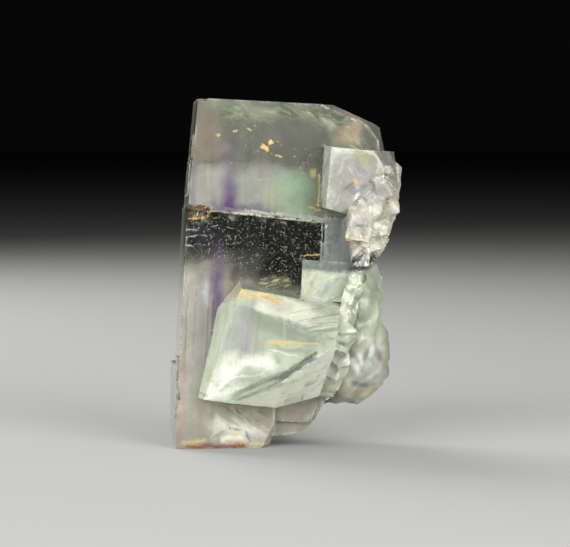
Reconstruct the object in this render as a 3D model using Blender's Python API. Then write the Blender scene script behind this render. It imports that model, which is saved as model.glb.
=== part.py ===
"""A stepped fluorite crystal group on quartz, about 60 mm tall.

Three solids: the intergrown fluorite cubes, the single fluorite crystal behind them, and the
quartz that both grew on. X runs to the right, Y to the back and Z up. Sizes are in millimetres
until a mesh is stored, and the group stands on the flat cut under its left-hand column.
"""

import math
import random

import bmesh
import bpy
from mathutils import Matrix, Vector

MM = 0.001

# Driving dimensions, in millimetres and degrees
HEIGHT = 60.0
LEDGE_HEIGHT = 40.7
COLUMN_WIDTH = 16.8
CONTACT_GAP = 0.3
LEAN_BACK = -3.0
COLUMN_YAW = 4.0
LOWER_ROLL = 2.7
UPPER_ROLL = 5.3

CHIP_SEED = 7
QUARTZ_SEED = 21


def turned(roll, yaw, pitch):
    """A crystal's turn: roll clockwise as seen from the front, then yaw, then pitch, in degrees."""
    return (
        Matrix.Rotation(math.radians(pitch), 4, "X")
        @ Matrix.Rotation(math.radians(yaw), 4, "Z")
        @ Matrix.Rotation(math.radians(roll), 4, "Y")
    )


def axes_at(corner, roll, yaw, pitch):
    """The matrix that puts a crystal's own axes (right, back, up) at its lower left front corner."""
    return Matrix.Translation(Vector(corner)) @ turned(roll, yaw, pitch)


LOWER = axes_at((-18.8, 0.0, 0.0), LOWER_ROLL, COLUMN_YAW, LEAN_BACK)
UPPER = axes_at((-16.7, 1.55, LEDGE_HEIGHT), UPPER_ROLL, COLUMN_YAW, LEAN_BACK)


def broken_edge(outline, depth, leans):
    """Planes that break a crystal off along an outline seen from the front, clockwise round it.

    outline holds (x, z) points. Each plane stands at the given depth and leans towards the
    viewer by its angle, so that the break shows facets and not a straight wall.
    """
    planes = []
    for number, (start, end) in enumerate(zip(outline, outline[1:])):
        along = Vector((end[0] - start[0], 0, end[1] - start[1])).normalized()
        lean = math.radians(leans[number % len(leans)])
        outward = Vector((-along.z, 0, along.x)) * math.cos(lean) - Vector((0, 1, 0)) * math.sin(lean)
        planes.append((Vector((start[0], depth, start[1])), outward))
    return planes


def plane_through(a, b, c, inside):
    """The plane through three points, facing away from a point inside the crystal."""
    a, b, c = Vector(a), Vector(b), Vector(c)
    outward = (b - a).cross(c - a).normalized()
    if outward.dot(Vector(inside) - a) > 0:
        outward.negate()
    return a, outward


def moved(planes, distance):
    """The same planes, shifted outwards by a distance."""
    return [(point + outward * distance, outward) for point, outward in planes]


def cut_off(bm, point, outward):
    """Removes what lies outside a plane and closes the cut."""
    everything = bm.verts[:] + bm.edges[:] + bm.faces[:]
    bmesh.ops.bisect_plane(bm, geom=everything, plane_co=point, plane_no=outward, clear_outer=True)
    bmesh.ops.holes_fill(bm, edges=[e for e in bm.edges if e.is_boundary], sides=0)


class Block:
    """One flat-faced convex body. It keeps its recipe, so that a slightly larger copy can be made."""

    def __init__(self, axes, low, high, planes=()):
        self.axes = axes
        self.low = Vector(low)
        self.high = Vector(high)
        self.planes = list(planes)

    def bmesh(self, grow=0.0):
        """The block's mesh, with every face moved outwards by grow."""
        bm = bmesh.new()
        bmesh.ops.create_cube(bm, size=1.0)
        size = self.high - self.low + Vector((2 * grow,) * 3)
        bmesh.ops.scale(bm, vec=size, verts=bm.verts)
        bmesh.ops.translate(bm, vec=(self.high + self.low) / 2, verts=bm.verts)
        bmesh.ops.transform(bm, matrix=self.axes, verts=bm.verts)
        for point, outward in self.planes:
            cut_off(bm, point + outward * grow, outward)
        return bm


class Prism:
    """A six-sided quartz crystal with a six-faced tip, growing from a foot along an axis."""

    def __init__(self, foot, axis, radius, length, spin, tip_shifts):
        self.foot = Vector(foot)
        self.turn = Vector(axis).to_track_quat("Z", "Y").to_matrix().to_4x4()
        self.radius = radius
        self.length = length
        self.spin = spin
        self.tip_shifts = tip_shifts

    def bmesh(self, grow=0.0):
        """The crystal's mesh, standing on its foot."""
        bm = bmesh.new()
        radius = self.radius + grow
        bmesh.ops.create_cone(
            bm, cap_ends=True, segments=6, radius1=radius, radius2=radius, depth=self.length
        )
        bmesh.ops.translate(bm, vec=(0, 0, self.length / 2), verts=bm.verts)
        slope = math.radians(51.8)
        tip = Vector((0, 0, self.length))
        for side, shift in enumerate(self.tip_shifts):
            angle = math.radians(60 * side)
            outward = Vector(
                (math.cos(angle) * math.sin(slope), math.sin(angle) * math.sin(slope), math.cos(slope))
            )
            cut_off(bm, tip - outward * shift * self.radius, outward)
        placed = Matrix.Translation(self.foot) @ self.turn @ Matrix.Rotation(self.spin, 4, "Z")
        bmesh.ops.transform(bm, matrix=placed, verts=bm.verts)
        return bm


def shard(centre, radius, stretch, rng):
    """A broken lump: a turned box with its corners struck off by flat planes."""
    centre = Vector(centre)
    turn = turned(rng.uniform(-40, 40), rng.uniform(-40, 40), rng.uniform(-40, 40))
    half = Vector(stretch) * radius
    planes = []
    for _ in range(9):
        outward = Vector((rng.gauss(0, 1), rng.gauss(0, 1), rng.gauss(0, 1))).normalized()
        reach = abs(outward.x) * half.x + abs(outward.y) * half.y + abs(outward.z) * half.z
        planes.append((centre + outward * reach * rng.uniform(0.52, 0.74), outward))
    return Block(Matrix.Translation(centre) @ turn, -half, half, planes)


def store(name, bm, material, collection):
    """Turns a mesh into an object of its own, still in millimetres."""
    bmesh.ops.recalc_face_normals(bm, faces=bm.faces)
    mesh = bpy.data.meshes.new(name)
    bm.to_mesh(mesh)
    bm.free()
    mesh.materials.append(material)
    placed = bpy.data.objects.new(name, mesh)
    collection.objects.link(placed)
    return placed


def volume_if_closed(mesh):
    """The volume inside a mesh, or None where the mesh isn't one closed surface."""
    bm = bmesh.new()
    bm.from_mesh(mesh)
    volume = bm.calc_volume()
    if any(len(e.link_faces) != 2 for e in bm.edges):
        volume = None
    bm.free()
    return volume


def combine(body, other, operation):
    """Joins other to body or cuts it away, and removes other.

    Where the exact solver leaves an open or a lost part, the step is made again with the other one.
    """
    had = volume_if_closed(body.data)
    brought = volume_if_closed(other.data)
    least = max(had, brought) if operation == "UNION" else had - brought
    most = had + brought if operation == "UNION" else had
    for solver in ("EXACT", "MANIFOLD"):
        step = body.modifiers.new(operation.lower(), "BOOLEAN")
        step.operation = operation
        step.solver = solver
        step.object = other
        graph = bpy.context.evaluated_depsgraph_get()
        made = bpy.data.meshes.new_from_object(body.evaluated_get(graph))
        body.modifiers.remove(step)
        volume = volume_if_closed(made)
        if volume is not None and least - 0.01 <= volume <= most + 0.01:
            break
    body.data = made
    bpy.data.objects.remove(other)


def largest_island(bm):
    """The vertices of the mesh's largest connected part."""
    unseen = set(bm.verts)
    islands = []
    while unseen:
        island = {unseen.pop()}
        front = list(island)
        while front:
            near = {e.other_vert(v) for v in front for e in v.link_edges} - island
            island |= near
            front = list(near)
        unseen -= island
        islands.append(island)
    return max(islands, key=len)


def finish(body):
    """Drops the crumbs that a cut leaves loose, tidies the flat faces and turns the mesh to metres."""
    for tidied, method in ((True, "BEAUTY"), (True, "EAR_CLIP"), (False, "BEAUTY"), (False, "EAR_CLIP")):
        bm = bmesh.new()
        bm.from_mesh(body.data)
        kept = largest_island(bm)
        bmesh.ops.delete(bm, geom=[v for v in bm.verts if v not in kept], context="VERTS")
        if tidied:
            bmesh.ops.dissolve_limit(bm, angle_limit=math.radians(0.05), verts=bm.verts, edges=bm.edges)
        bmesh.ops.triangulate(bm, faces=bm.faces, ngon_method=method)
        bmesh.ops.scale(bm, vec=(MM, MM, MM), verts=bm.verts)
        closed = all(len(e.link_faces) == 2 for e in bm.edges)
        if closed:
            bm.to_mesh(body.data)
        bm.free()
        if closed:
            return


def build(name, steps, grow, material, collection):
    """One solid built up in steps, each a list of blocks to join or to cut away.

    With grow above zero it is a copy that is larger all round by that much.
    """
    body = None
    for operation, blocks in steps:
        by = grow if operation == "UNION" else -grow
        for block in blocks:
            added = store(name, block.bmesh(by), material, collection)
            if body is None:
                body = added
            else:
                combine(body, added, operation)
    return body


def grown_beside(name, steps, neighbours, material, collection):
    """One finished solid that keeps the contact gap to its neighbours."""
    body = build(name, steps, 0.0, material, collection)
    for neighbour in neighbours:
        combine(body, build("room", neighbour, CONTACT_GAP, material, collection), "DIFFERENCE")
    finish(body)
    return body


def mineral(name, colour, roughness):
    """A clear mineral's own colour and polish."""
    material = bpy.data.materials.new(name)
    material.use_nodes = True
    shader = material.node_tree.nodes["Principled BSDF"]
    shader.inputs["Base Color"].default_value = (*colour, 1.0)
    shader.inputs["Roughness"].default_value = roughness
    shader.inputs["Metallic"].default_value = 0.0
    return material


# ---------------------------------------------------------------- the main fluorite group


def main_crystal():
    """The tall slab-like crystal, in two storeys that meet at the ledge across its front.

    It is deepest at the left, where it stands, and its back runs obliquely forward to the right.
    """
    top_cut = plane_through((-14.5, 3, 59.9), (8.4, 5, 58.7), (-14.5, 26, 59.3), (0, 5, 50))
    back_breaks = [
        plane_through((-22, 31.0, 10), (-8, 29.0, 10), (-20, 28.0, 55), (0, 5, 30)),
        plane_through((-8, 28.0, 20), (17.5, 8.6, 20), (-8, 27.0, 55), (0, 5, 30)),
    ]
    wing_break = broken_edge([(14.4, 41.0), (13.4, 36.0), (12.2, 31.0), (8.0, 22.0)], 6.0, [12, -14, 18])
    corner_break = broken_edge(
        [(8.4, 58.7), (12.2, 56.9), (14.7, 55.8), (16.3, 53.7), (16.9, 51.0), (17.4, 46.0)],
        6.0,
        [24, -12, 30, 10, 26],
    )
    floor_cut = (Vector((0, 0, 0)), Vector((0, 0, -1)))
    storey_cut = (UPPER @ Vector((0, 0, 1.0)), (UPPER.to_3x3() @ Vector((0, 0, 1))).normalized())
    upper_back = moved(back_breaks, -0.6)
    lower = Block(LOWER, (0, 0, -4), (34, 34, 44), [floor_cut, storey_cut, *wing_break, *back_breaks])
    upper_size = (35, 32, HEIGHT - LEDGE_HEIGHT + 2)
    upper = Block(UPPER, (0, 0, 0), upper_size, [top_cut, *corner_break, *upper_back])
    return [lower, upper]


def room_round_the_wing():
    """The room below and behind the thin part of the main crystal, to the right of the column."""
    foot = Block(LOWER, (COLUMN_WIDTH, -3, -6), (40, 40, 15.0))
    nick = plane_through((-2.0, 0, 1.5), (-3.1, 0, -0.1), (-2.0, 30, 1.7), (-2, 5, -1))
    corner = Block(LOWER, (14.0, -3, -3), (19, 40, 3), [nick])
    behind = Block(axes_at((-5.0, 14.5, -5), 0.0, -24.0, -2.0), (0, 0, 0), (40, 30, 70))
    return [foot, corner, behind]


def foot_step():
    """The set-back step low on the right, broken along its underside."""
    underside = broken_edge(
        [(7.4, 9.2), (5.2, 5.6), (4.4, 3.6), (3.0, 2.3), (1.7, 1.9), (-2.6, 1.5)], 3.0, [14, 8, -6, -12, -14]
    )
    upper = Block(LOWER, (14.0, 2.6, 1.6), (27.5, 11.0, 27.0), underside)
    ledge = Block(LOWER, (15.5, 1.5, 5.4), (24.6, 9.0, 12.0), moved(underside, -0.35))
    return [upper, ledge]


def raised_plates():
    """Thin growth plates on the main face: two beside the ledge, and strips down the left edge."""
    upper_right = plane_through((10.8, 0, 34.0), (9.4, 0, 40.5), (11.5, 8, 38.0), (5, 3, 36))
    lower_right = plane_through((11.6, 0, 33.0), (11.0, 0, 26.5), (12.4, 8, 29.0), (5, 3, 29))
    low_edge = plane_through((2.4, 0, 25.7), (8.6, 0, 25.1), (4.0, 8, 25.2), (5, 3, 30))
    tall_plate = Block(LOWER, (23.7, -0.9, 30.2), (33.0, 5, 41.4), [upper_right])
    narrow_plate = Block(LOWER, (23.2, -0.45, 31.2), (26.0, 5, 36.4))
    wide_plate = Block(LOWER, (20.1, -1.7, 24.0), (33.0, 5, 33.3), [lower_right, low_edge])
    left_strip = Block(LOWER, (0.9, -0.35, 1.5), (5.2, 3, 31.0))
    inner_strip = Block(LOWER, (2.3, -0.6, 6.0), (4.4, 3, 27.5))
    return [tall_plate, narrow_plate, wide_plate, left_strip, inner_strip]


def upper_cube():
    """The cube that stands out at the upper right, with its right side broken away."""
    axes = axes_at((6.7, -2.3, 40.4), 5.4, 10.0, 2.0)
    right_break = broken_edge([(15.0, 52.0), (16.0, 49.4), (17.9, 46.2), (18.6, 41.0)], -1.0, [34, 22, 30])
    low_break = broken_edge([(16.4, 44.6), (12.2, 42.0), (9.6, 39.4)], -1.5, [34, 46])
    lower_edge = plane_through((6.6, -2, 41.2), (12.4, -3.2, 39.6), (8.5, 4, 40.4), (11, 1, 46))
    return [Block(axes, (0, 0, -1), (12.4, 9.0, 11.2), [*right_break, *low_break, lower_edge])]


def front_cube():
    """The large cube in front, struck off above and below to a blunt point at the right."""
    inside = (-4.0, -2.0, 17.0)
    front = plane_through((-13.6, -3.6, 9.5), (-9.2, -7.2, 25.5), (8.4, -9.6, 18.1), inside)
    left = plane_through((-15.1, 0.2, 8.8), (-10.9, 0.2, 24.7), (-13.6, -3.6, 9.5), inside)
    corner = plane_through((-10.9, 0.2, 24.6), (-7.8, 0.2, 28.2), (-8.6, -6.4, 25.9), inside)
    roof = plane_through((-6.6, -7.6, 25.2), (8.4, -9.6, 18.3), (6.6, -1.2, 25.3), inside)
    crown = plane_through((-7.8, 0.5, 28.3), (6.4, 0.5, 25.3), (-7.8, -4, 27.9), inside)
    base = plane_through((-15.0, 0, 8.8), (-1.3, 0, 7.0), (-13.6, -3.6, 8.7), inside)
    low_right = plane_through((-1.6, 0, 7.0), (7.4, 0, 9.4), (-1.0, -6.0, 7.8), inside)
    under = plane_through((-10.8, -4.0, 8.5), (1.3, -7.3, 13.2), (-1.3, -0.8, 7.0), inside)
    under_right = plane_through((1.3, -7.3, 13.2), (6.9, -9.2, 17.4), (5.4, -1.0, 8.6), inside)
    right = plane_through((8.5, -9.7, 18.2), (9.3, -2.0, 24.2), (9.2, -1.0, 18.0), inside)
    right_low = plane_through((8.5, -9.7, 18.2), (5.9, -1.0, 9.6), (8.4, -1.0, 16.6), inside)
    band_outward = (front[1] * 1.1 + under[1]).normalized()
    band = (Vector((-3.5, -6.0, 11.3)) - band_outward * 0.38, band_outward)
    sides = [front, left, corner, roof, crown, base, low_right, under, under_right, right, right_low, band]
    return [Block(Matrix.Identity(4), (-20, -12, 4), (14, 6, 32), sides)]


def roof_terraces(cube):
    """Low ledges that step down the upper right facet of the front cube."""
    roof = 3
    terraces = []
    for number, height in enumerate((23.4, 22.2, 21.2, 20.2)):
        sides = moved(cube.planes, -0.06)
        sides[roof] = moved(cube.planes, 0.13 * (number + 1))[roof]
        sides.append(plane_through((0, -8, height), (8, -8, height + 0.5), (4, 2, height + 1.6), (4, -5, 10)))
        sides.append(plane_through((0.6 + number, -9, 22), (2.2 + number, -9, 17), (1.6, 3, 23), (9, -5, 20)))
        terraces.append(Block(cube.axes, cube.low, cube.high, sides))
    return terraces


def back_cubes():
    """Cubes on the hidden back and left, the largest of them showing past the left edge low down."""
    cubes = [
        (axes_at((-19.25, 16.5, -1.0), 0.8, 8.0, 0.0), (12.5, 13.0, 13.7)),
        (axes_at((-18.2, 20.5, 12.0), 6.0, -12.0, 4.0), (10.0, 10.5, 11.6)),
        (axes_at((-12.4, 20.5, 22.0), -8.0, 21.0, -6.0), (8.4, 9.0, 8.8)),
        (axes_at((-16.0, 22.5, 36.5), 9.0, -9.0, -3.0), (7.2, 6.4, 7.6)),
        (axes_at((-8.6, 18.0, 43.0), -4.0, 17.0, 7.0), (6.4, 7.0, 6.0)),
        (axes_at((-10.6, 21.5, 6.0), 12.0, 30.0, 8.0), (6.0, 7.0, 6.2)),
        (axes_at((-13.6, 24.0, 30.2), 4.0, -24.0, 8.0), (3.6, 4.0, 3.8)),
        (axes_at((-8.4, 22.4, 35.4), -12.0, 12.0, -9.0), (3.4, 3.6, 3.2)),
        (axes_at((-17.8, 25.2, 25.6), 14.0, 8.0, 4.0), (3.2, 3.6, 3.0)),
        (axes_at((-14.0, 24.2, 47.6), 2.0, -15.0, 5.0), (4.4, 3.4, 4.6)),
        (axes_at((-4.2, 16.4, 30.6), 7.0, 38.0, -5.0), (4.6, 4.2, 4.8)),
        (axes_at((-2.8, 14.6, 18.0), -6.0, -18.0, 6.0), (3.8, 4.6, 4.2)),
    ]
    floor_cut = (Vector((0, 0, 0)), Vector((0, 0, -1)))
    return [Block(axes, (0, 0, 0), size, [floor_cut]) for axes, size in cubes]


def growth_plates(rng):
    """Thin plates that stand a little proud of the left face, the back and the top."""
    plates = []
    for storey, low, high in ((LOWER, 3.0, 30.0), (UPPER, 2.0, 9.5)):
        for _ in range(3):
            up = rng.uniform(low, high)
            near = rng.uniform(5.0, 11.0)
            far = near + rng.uniform(4.0, 12.0)
            tall = rng.uniform(2.5, 7.5)
            plates.append(Block(storey, (-rng.uniform(0.15, 0.35), near, up), (2, far, up + tall)))
    for _ in range(4):
        across = rng.uniform(2.0, 16.0)
        near = rng.uniform(3.0, 9.0)
        top = HEIGHT - LEDGE_HEIGHT + rng.uniform(-0.1, 0.2) - 0.028 * across
        plates.append(
            Block(UPPER, (across, near, 12), (across + rng.uniform(2, 6), near + rng.uniform(3, 9), top))
        )
    return plates


def ledge_notches(rng):
    """Small chips out of the ledge, the stained nick at its left end and the chipped top corner."""
    nick = axes_at((-17.6, 0.4, 39.3), 8.0, 2.0, -4.0)
    top_chip = axes_at((-15.9, 1.0, 59.55), 3.0, 5.0, -3.0)
    hollows = [
        Block(nick, (0, 0, 0), (3.2, 2.6, 1.9)),
        Block(nick, (2.6, 0.3, 0.4), (4.6, 2.2, 1.7)),
        Block(top_chip, (0, 0, 0), (2.7, 6.0, 2.0)),
    ]
    for number in range(9):
        along = 6.5 + 2.0 * number + rng.uniform(-0.6, 0.6)
        at = UPPER @ Vector((along, -0.4, rng.uniform(-0.7, -0.35)))
        turn = (rng.uniform(20, 60), rng.uniform(-25, 25), rng.uniform(-20, 20))
        size = rng.uniform(0.55, 1.05)
        hollows.append(Block(axes_at(at, *turn), (0, 0, 0), (size, 1.0, size)))
    return hollows


def edge_chips(rng):
    """Chips off the long left edge and the top edge."""
    chips = []
    for height in (9.0, 21.5, 32.0, 47.5, 52.0):
        at = Vector((-19.3, 0, 0)) + Vector((0.0573, 0.0586, 1)) * height
        if height > LEDGE_HEIGHT:
            at.x = -17.1 + 0.089 * (height - LEDGE_HEIGHT)
        size = rng.uniform(0.5, 0.9)
        turn = (rng.uniform(-30, 30), 45 + rng.uniform(-12, 12), rng.uniform(-20, 20))
        chips.append(Block(axes_at(at, *turn), (-size, -size * 0.6, -size), (size, size * 0.5, size * 2)))
    return chips


# ---------------------------------------------------------------- the crystal behind


def rear_crystal():
    """The rounded crystal behind the front cube, at the lower right."""
    upper_outline = [
        (12.6, 32.6), (15.2, 31.4), (16.3, 30.2), (17.1, 28.4), (17.5, 26.2), (17.1, 23.6), (16.4, 18.0),
    ]
    lower_outline = [
        (15.6, 22.6), (17.1, 21.4), (17.9, 19.5), (18.2, 16.0), (18.2, 11.6), (17.3, 10.0),
        (14.4, 7.4), (12.1, 6.3), (7.0, 6.9),
    ]
    upper = broken_edge(upper_outline, 11.5, [22, 14, 30, 18, -12, 10])
    lower = broken_edge(lower_outline, 12.0, [16, 20, 34, 12, 24, 38, 30, 20])
    front_left = plane_through((10.5, 6.2, 8), (12.0, 6.0, 30), (5.0, 9.5, 18), (12, 10, 18))
    front_right = plane_through((12.8, 5.6, 10), (13.4, 5.8, 30), (18.5, 8.6, 18), (12, 10, 18))
    front_low = plane_through((10.0, 5.4, 12.0), (16.0, 6.4, 11.6), (12.0, 8.4, 7.0), (12, 10, 18))
    back = plane_through((6, 13.4, 10), (18, 12.2, 12), (12, 13.0, 30), (12, 8, 18))
    still = Matrix.Identity(4)
    fronts = [front_left, front_right, back]
    return [
        Block(still, (5.8, 4, 5), (20, 18, 24), [*fronts, front_low, *lower]),
        Block(still, (7.6, 4.6, 16), (20, 17, 34), [*moved(fronts, -0.15), *upper]),
    ]


# ---------------------------------------------------------------- the quartz


def quartz_mass():
    """The solid part of the quartz: the broken lump at the upper right and the seam below it."""
    rng = random.Random(QUARTZ_SEED)
    lump_outline = [
        (14.4, 50.9), (17.2, 49.6), (18.3, 48.8), (19.2, 47.0), (18.8, 43.5), (18.2, 39.3),
        (17.0, 35.6), (15.0, 31.0), (12.6, 29.6), (10.0, 33.0), (10.3, 37.0), (9.8, 40.5), (13.6, 50.2),
    ]
    lump_break = broken_edge(lump_outline[:8], 6.0, [20, 12, 34, 20, 28, 14, 36])
    lump_break += broken_edge(lump_outline[7:], 4.0, [24, 10, -16, 8, 12])
    lump_front = plane_through((10, -1.3, 44), (19, 0.4, 44), (14, -0.6, 32), (14, 5, 40))
    lump_top = plane_through((10, -1.0, 47), (19, 0.8, 45), (15, 3.0, 51), (14, 5, 40))
    lump = Block(Matrix.Identity(4), (9.3, -4, 29), (21, 9.5, 52), [lump_front, lump_top, *lump_break])
    facets = [
        ((13.8, -0.2, 45.0), 2.3), ((16.4, 0.3, 44.4), 2.4),
        ((16.9, 0.8, 47.0), 1.9), ((12.6, -0.3, 42.0), 2.0),
        ((15.4, 0.2, 41.2), 2.3), ((17.3, 0.8, 41.4), 1.8),
        ((13.9, -0.2, 37.6), 1.7), ((16.3, 0.7, 38.0), 1.9),
        ((14.0, 0.0, 35.0), 1.7), ((15.6, 0.9, 35.2), 1.6),
        ((12.3, 0.1, 33.4), 1.4), ((13.6, 0.4, 31.7), 1.5),
        ((11.7, 0.2, 36.6), 1.3), ((12.2, 0.8, 30.6), 1.1),
    ]
    pale_block = Block(axes_at((10.0, -2.7, 36.0), 9.0, -6.0, 4.0), (0, 0, 0), (4.3, 4.0, 4.9))
    seam = [
        ((12.3, 0.6, 28.8), 1.25), ((11.6, 0.3, 27.2), 1.1),
        ((10.9, 0.0, 25.6), 1.1), ((10.2, 0.0, 24.0), 1.2),
        ((10.4, -0.4, 22.3), 1.3), ((10.1, -0.6, 20.6), 1.35),
        ((10.3, -0.4, 18.9), 1.5), ((9.4, -0.4, 17.2), 1.35),
        ((9.2, 0.0, 15.5), 1.4), ((8.9, 0.2, 13.8), 1.35),
        ((8.2, 0.6, 12.2), 1.25), ((7.5, 1.1, 10.8), 1.15),
        ((6.9, 1.8, 9.6), 0.95),
    ]
    stretch = (1.0, 1.1, 1.15)
    blocks = [lump]
    blocks += [shard(centre, radius, stretch, rng) for centre, radius in facets]
    blocks += [pale_block]
    blocks += [shard(centre, radius * 1.15, (0.8, 1.6, 1.3), rng) for centre, radius in seam]
    web = Block(axes_at((6.3, 0.8, 9.8), 15.0, 0.0, 0.0), (0, 0, 0), (2.3, 9.5, 20.0))
    return blocks + [web]


def quartz_bed():
    """The bed of quartz behind, on which both fluorites sit: a thick crust with a rough outer side."""
    rng = random.Random(QUARTZ_SEED + 1)
    outline = [
        (3.0, 51.0), (9.0, 52.5), (14.0, 50.5), (16.6, 46.0), (16.4, 38.0), (13.6, 28.0), (12.4, 18.0),
        (9.0, 13.5), (4.0, 16.0), (-1.0, 26.0), (-1.5, 40.0), (3.0, 51.0),
    ]
    rim = broken_edge(outline, 10.0, [-16, -24, -12, -28, -20, -10, -26, -18, -22, -14, -20])
    back = [
        plane_through((-4, 17.2, 20), (18, 10.2, 20), (8, 12.6, 52), (8, 8, 35)),
        plane_through((-4, 16.4, 34), (18, 11.2, 34), (8, 12.4, 12), (8, 8, 35)),
        plane_through((2, 15.4, 30), (20, 6.8, 30), (10, 10.6, 50), (8, 8, 35)),
    ]
    bed = Block(Matrix.Identity(4), (-4, 7, 12), (20, 20, 54), [*rim, *back])
    lumps = []
    for centre, radius in (
        ((15.4, 6.4, 45.6), 3.0), ((15.4, 5.9, 41.0), 2.8),
        ((13.6, 6.8, 35.4), 2.8), ((12.0, 8.4, 48.6), 2.6),
        ((6.2, 11.4, 48.2), 2.8), ((1.8, 13.2, 44.0), 2.7),
        ((9.4, 11.4, 44.0), 3.1), ((14.2, 9.2, 41.2), 3.1),
        ((3.4, 13.2, 37.0), 3.0), ((9.8, 11.6, 36.2), 3.0),
        ((1.0, 13.8, 30.0), 2.7), ((7.0, 12.8, 29.2), 3.1),
        ((13.0, 11.6, 31.4), 3.0), ((4.8, 12.8, 22.6), 2.8),
        ((10.8, 12.8, 24.0), 3.1), ((9.0, 12.6, 17.6), 2.8),
        ((-1.6, 14.8, 37.4), 2.3), ((-2.0, 14.8, 24.6), 2.2),
        ((8.8, 12.5, 32.6), 2.6), ((15.2, 4.2, 37.4), 2.3),
    ):
        lumps.append(shard(centre, radius, (1.0, 0.9, 1.1), rng))
    return [bed, *lumps]


def quartz_points():
    """Small quartz crystals over the back and the right side of the bed."""
    rng = random.Random(QUARTZ_SEED + 2)
    points = []
    rows = 8
    columns = 5
    for row in range(rows):
        for column in range(columns):
            across = (column + rng.uniform(0.15, 0.85)) / columns
            up = (row + rng.uniform(0.15, 0.85)) / rows
            foot = Vector((-1.5 + 17.0 * across, 15.2 - 5.2 * across * across, 16.5 + 32.5 * up))
            axis = Vector((0.9 * (across - 0.35) + rng.uniform(-0.3, 0.3), 1.0, rng.uniform(-0.45, 0.55)))
            radius = rng.uniform(0.9, 1.9)
            shifts = [rng.uniform(0.0, 0.45) for _ in range(6)]
            points.append(
                Prism(foot, axis, radius, radius * rng.uniform(2.4, 3.4), rng.uniform(0, 1), shifts)
            )
    return points


def seat(objects):
    """Moves the group so that the middle of its box's underside is the origin."""
    corners = [v.co for o in objects for v in o.data.vertices]
    low = Vector([min(c[axis] for c in corners) for axis in range(3)])
    high = Vector([max(c[axis] for c in corners) for axis in range(3)])
    middle = Vector(((low.x + high.x) / 2, (low.y + high.y) / 2, low.z))
    for placed in objects:
        placed.data.transform(Matrix.Translation(-middle))


def main():
    for old in list(bpy.data.objects):
        bpy.data.objects.remove(old)
    group = bpy.data.collections.new("fluorite_on_quartz")
    bpy.context.scene.collection.children.link(group)

    fluorite = mineral("fluorite", (0.62, 0.74, 0.66), 0.08)
    rear_fluorite = mineral("rear_fluorite", (0.66, 0.68, 0.66), 0.14)
    quartz = mineral("quartz", (0.86, 0.88, 0.86), 0.1)

    rng = random.Random(CHIP_SEED)
    slab = main_crystal()
    room = room_round_the_wing()
    front = front_cube()
    cubes = foot_step() + raised_plates() + upper_cube() + front + roof_terraces(front[0])
    cubes += back_cubes() + growth_plates(rng)
    hollows = ledge_notches(rng) + edge_chips(rng)
    rear = rear_crystal()
    bed = quartz_mass() + quartz_bed() + quartz_points()
    main_steps = [("UNION", slab), ("DIFFERENCE", room), ("UNION", cubes)]
    rear_steps = [("UNION", rear)]

    seated = [
        grown_beside("fluorite_cubes", [*main_steps, ("DIFFERENCE", hollows)], [], fluorite, group),
        grown_beside("rear_fluorite_crystal", rear_steps, [main_steps], rear_fluorite, group),
        grown_beside("quartz_matrix", [("UNION", bed)], [main_steps, rear_steps], quartz, group),
    ]
    seat(seated)


main()
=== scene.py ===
"""The looks of a stepped fluorite group on quartz: fine surfaces, colour zones, light and camera.

Lengths are in millimetres in the object's own frame (X right, Y back, Z up from the surface that
it stands on), until a finished mesh is stored in metres.
"""

import math
import random

import bmesh
import bpy
from mathutils import Matrix, Vector, noise
from mathutils.bvhtree import BVHTree
from mathutils.kdtree import KDTree


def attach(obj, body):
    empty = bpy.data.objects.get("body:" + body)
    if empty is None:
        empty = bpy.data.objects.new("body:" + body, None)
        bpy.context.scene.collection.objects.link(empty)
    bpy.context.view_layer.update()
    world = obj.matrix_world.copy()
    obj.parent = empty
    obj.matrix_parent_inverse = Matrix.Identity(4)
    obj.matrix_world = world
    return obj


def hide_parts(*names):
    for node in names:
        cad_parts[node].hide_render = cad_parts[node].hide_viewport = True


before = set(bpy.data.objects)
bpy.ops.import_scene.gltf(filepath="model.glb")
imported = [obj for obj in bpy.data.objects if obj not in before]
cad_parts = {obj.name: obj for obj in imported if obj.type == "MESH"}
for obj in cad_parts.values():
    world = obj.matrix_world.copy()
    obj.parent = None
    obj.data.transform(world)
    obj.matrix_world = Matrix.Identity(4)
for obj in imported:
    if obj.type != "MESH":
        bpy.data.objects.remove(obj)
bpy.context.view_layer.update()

MM = 0.001
MIDDLE = Vector((0.22, -11.37, 0.0))  # where the group's corner of reference stands in its box

# The crystals' own axes and sizes, as they are built
LEDGE_HEIGHT = 40.7
LOWER_CORNER = (-18.8, 0.0, 0.0)
UPPER_CORNER = (-16.7, 1.55, LEDGE_HEIGHT)
LEAN_BACK = -3.0
COLUMN_YAW = 4.0
LOWER_ROLL = 2.7
UPPER_ROLL = 5.3

FLUORITE_IOR = 1.434
QUARTZ_IOR = 1.544
FINE = 0.5
WEAR_SEED = 3


def crystal_axes(corner, roll):
    """The matrix from a storey's own axes (right, back, up) to the object's frame."""
    turn = (
        Matrix.Rotation(math.radians(LEAN_BACK), 4, "X")
        @ Matrix.Rotation(math.radians(COLUMN_YAW), 4, "Z")
        @ Matrix.Rotation(math.radians(roll), 4, "Y")
    )
    return Matrix.Translation(Vector(corner) + MIDDLE) @ turn


LOWER = crystal_axes(LOWER_CORNER, LOWER_ROLL)
UPPER = crystal_axes(UPPER_CORNER, UPPER_ROLL)
INTO_LOWER = LOWER.inverted()
INTO_UPPER = UPPER.inverted()


# ---------------------------------------------------------------- meshes


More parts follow.
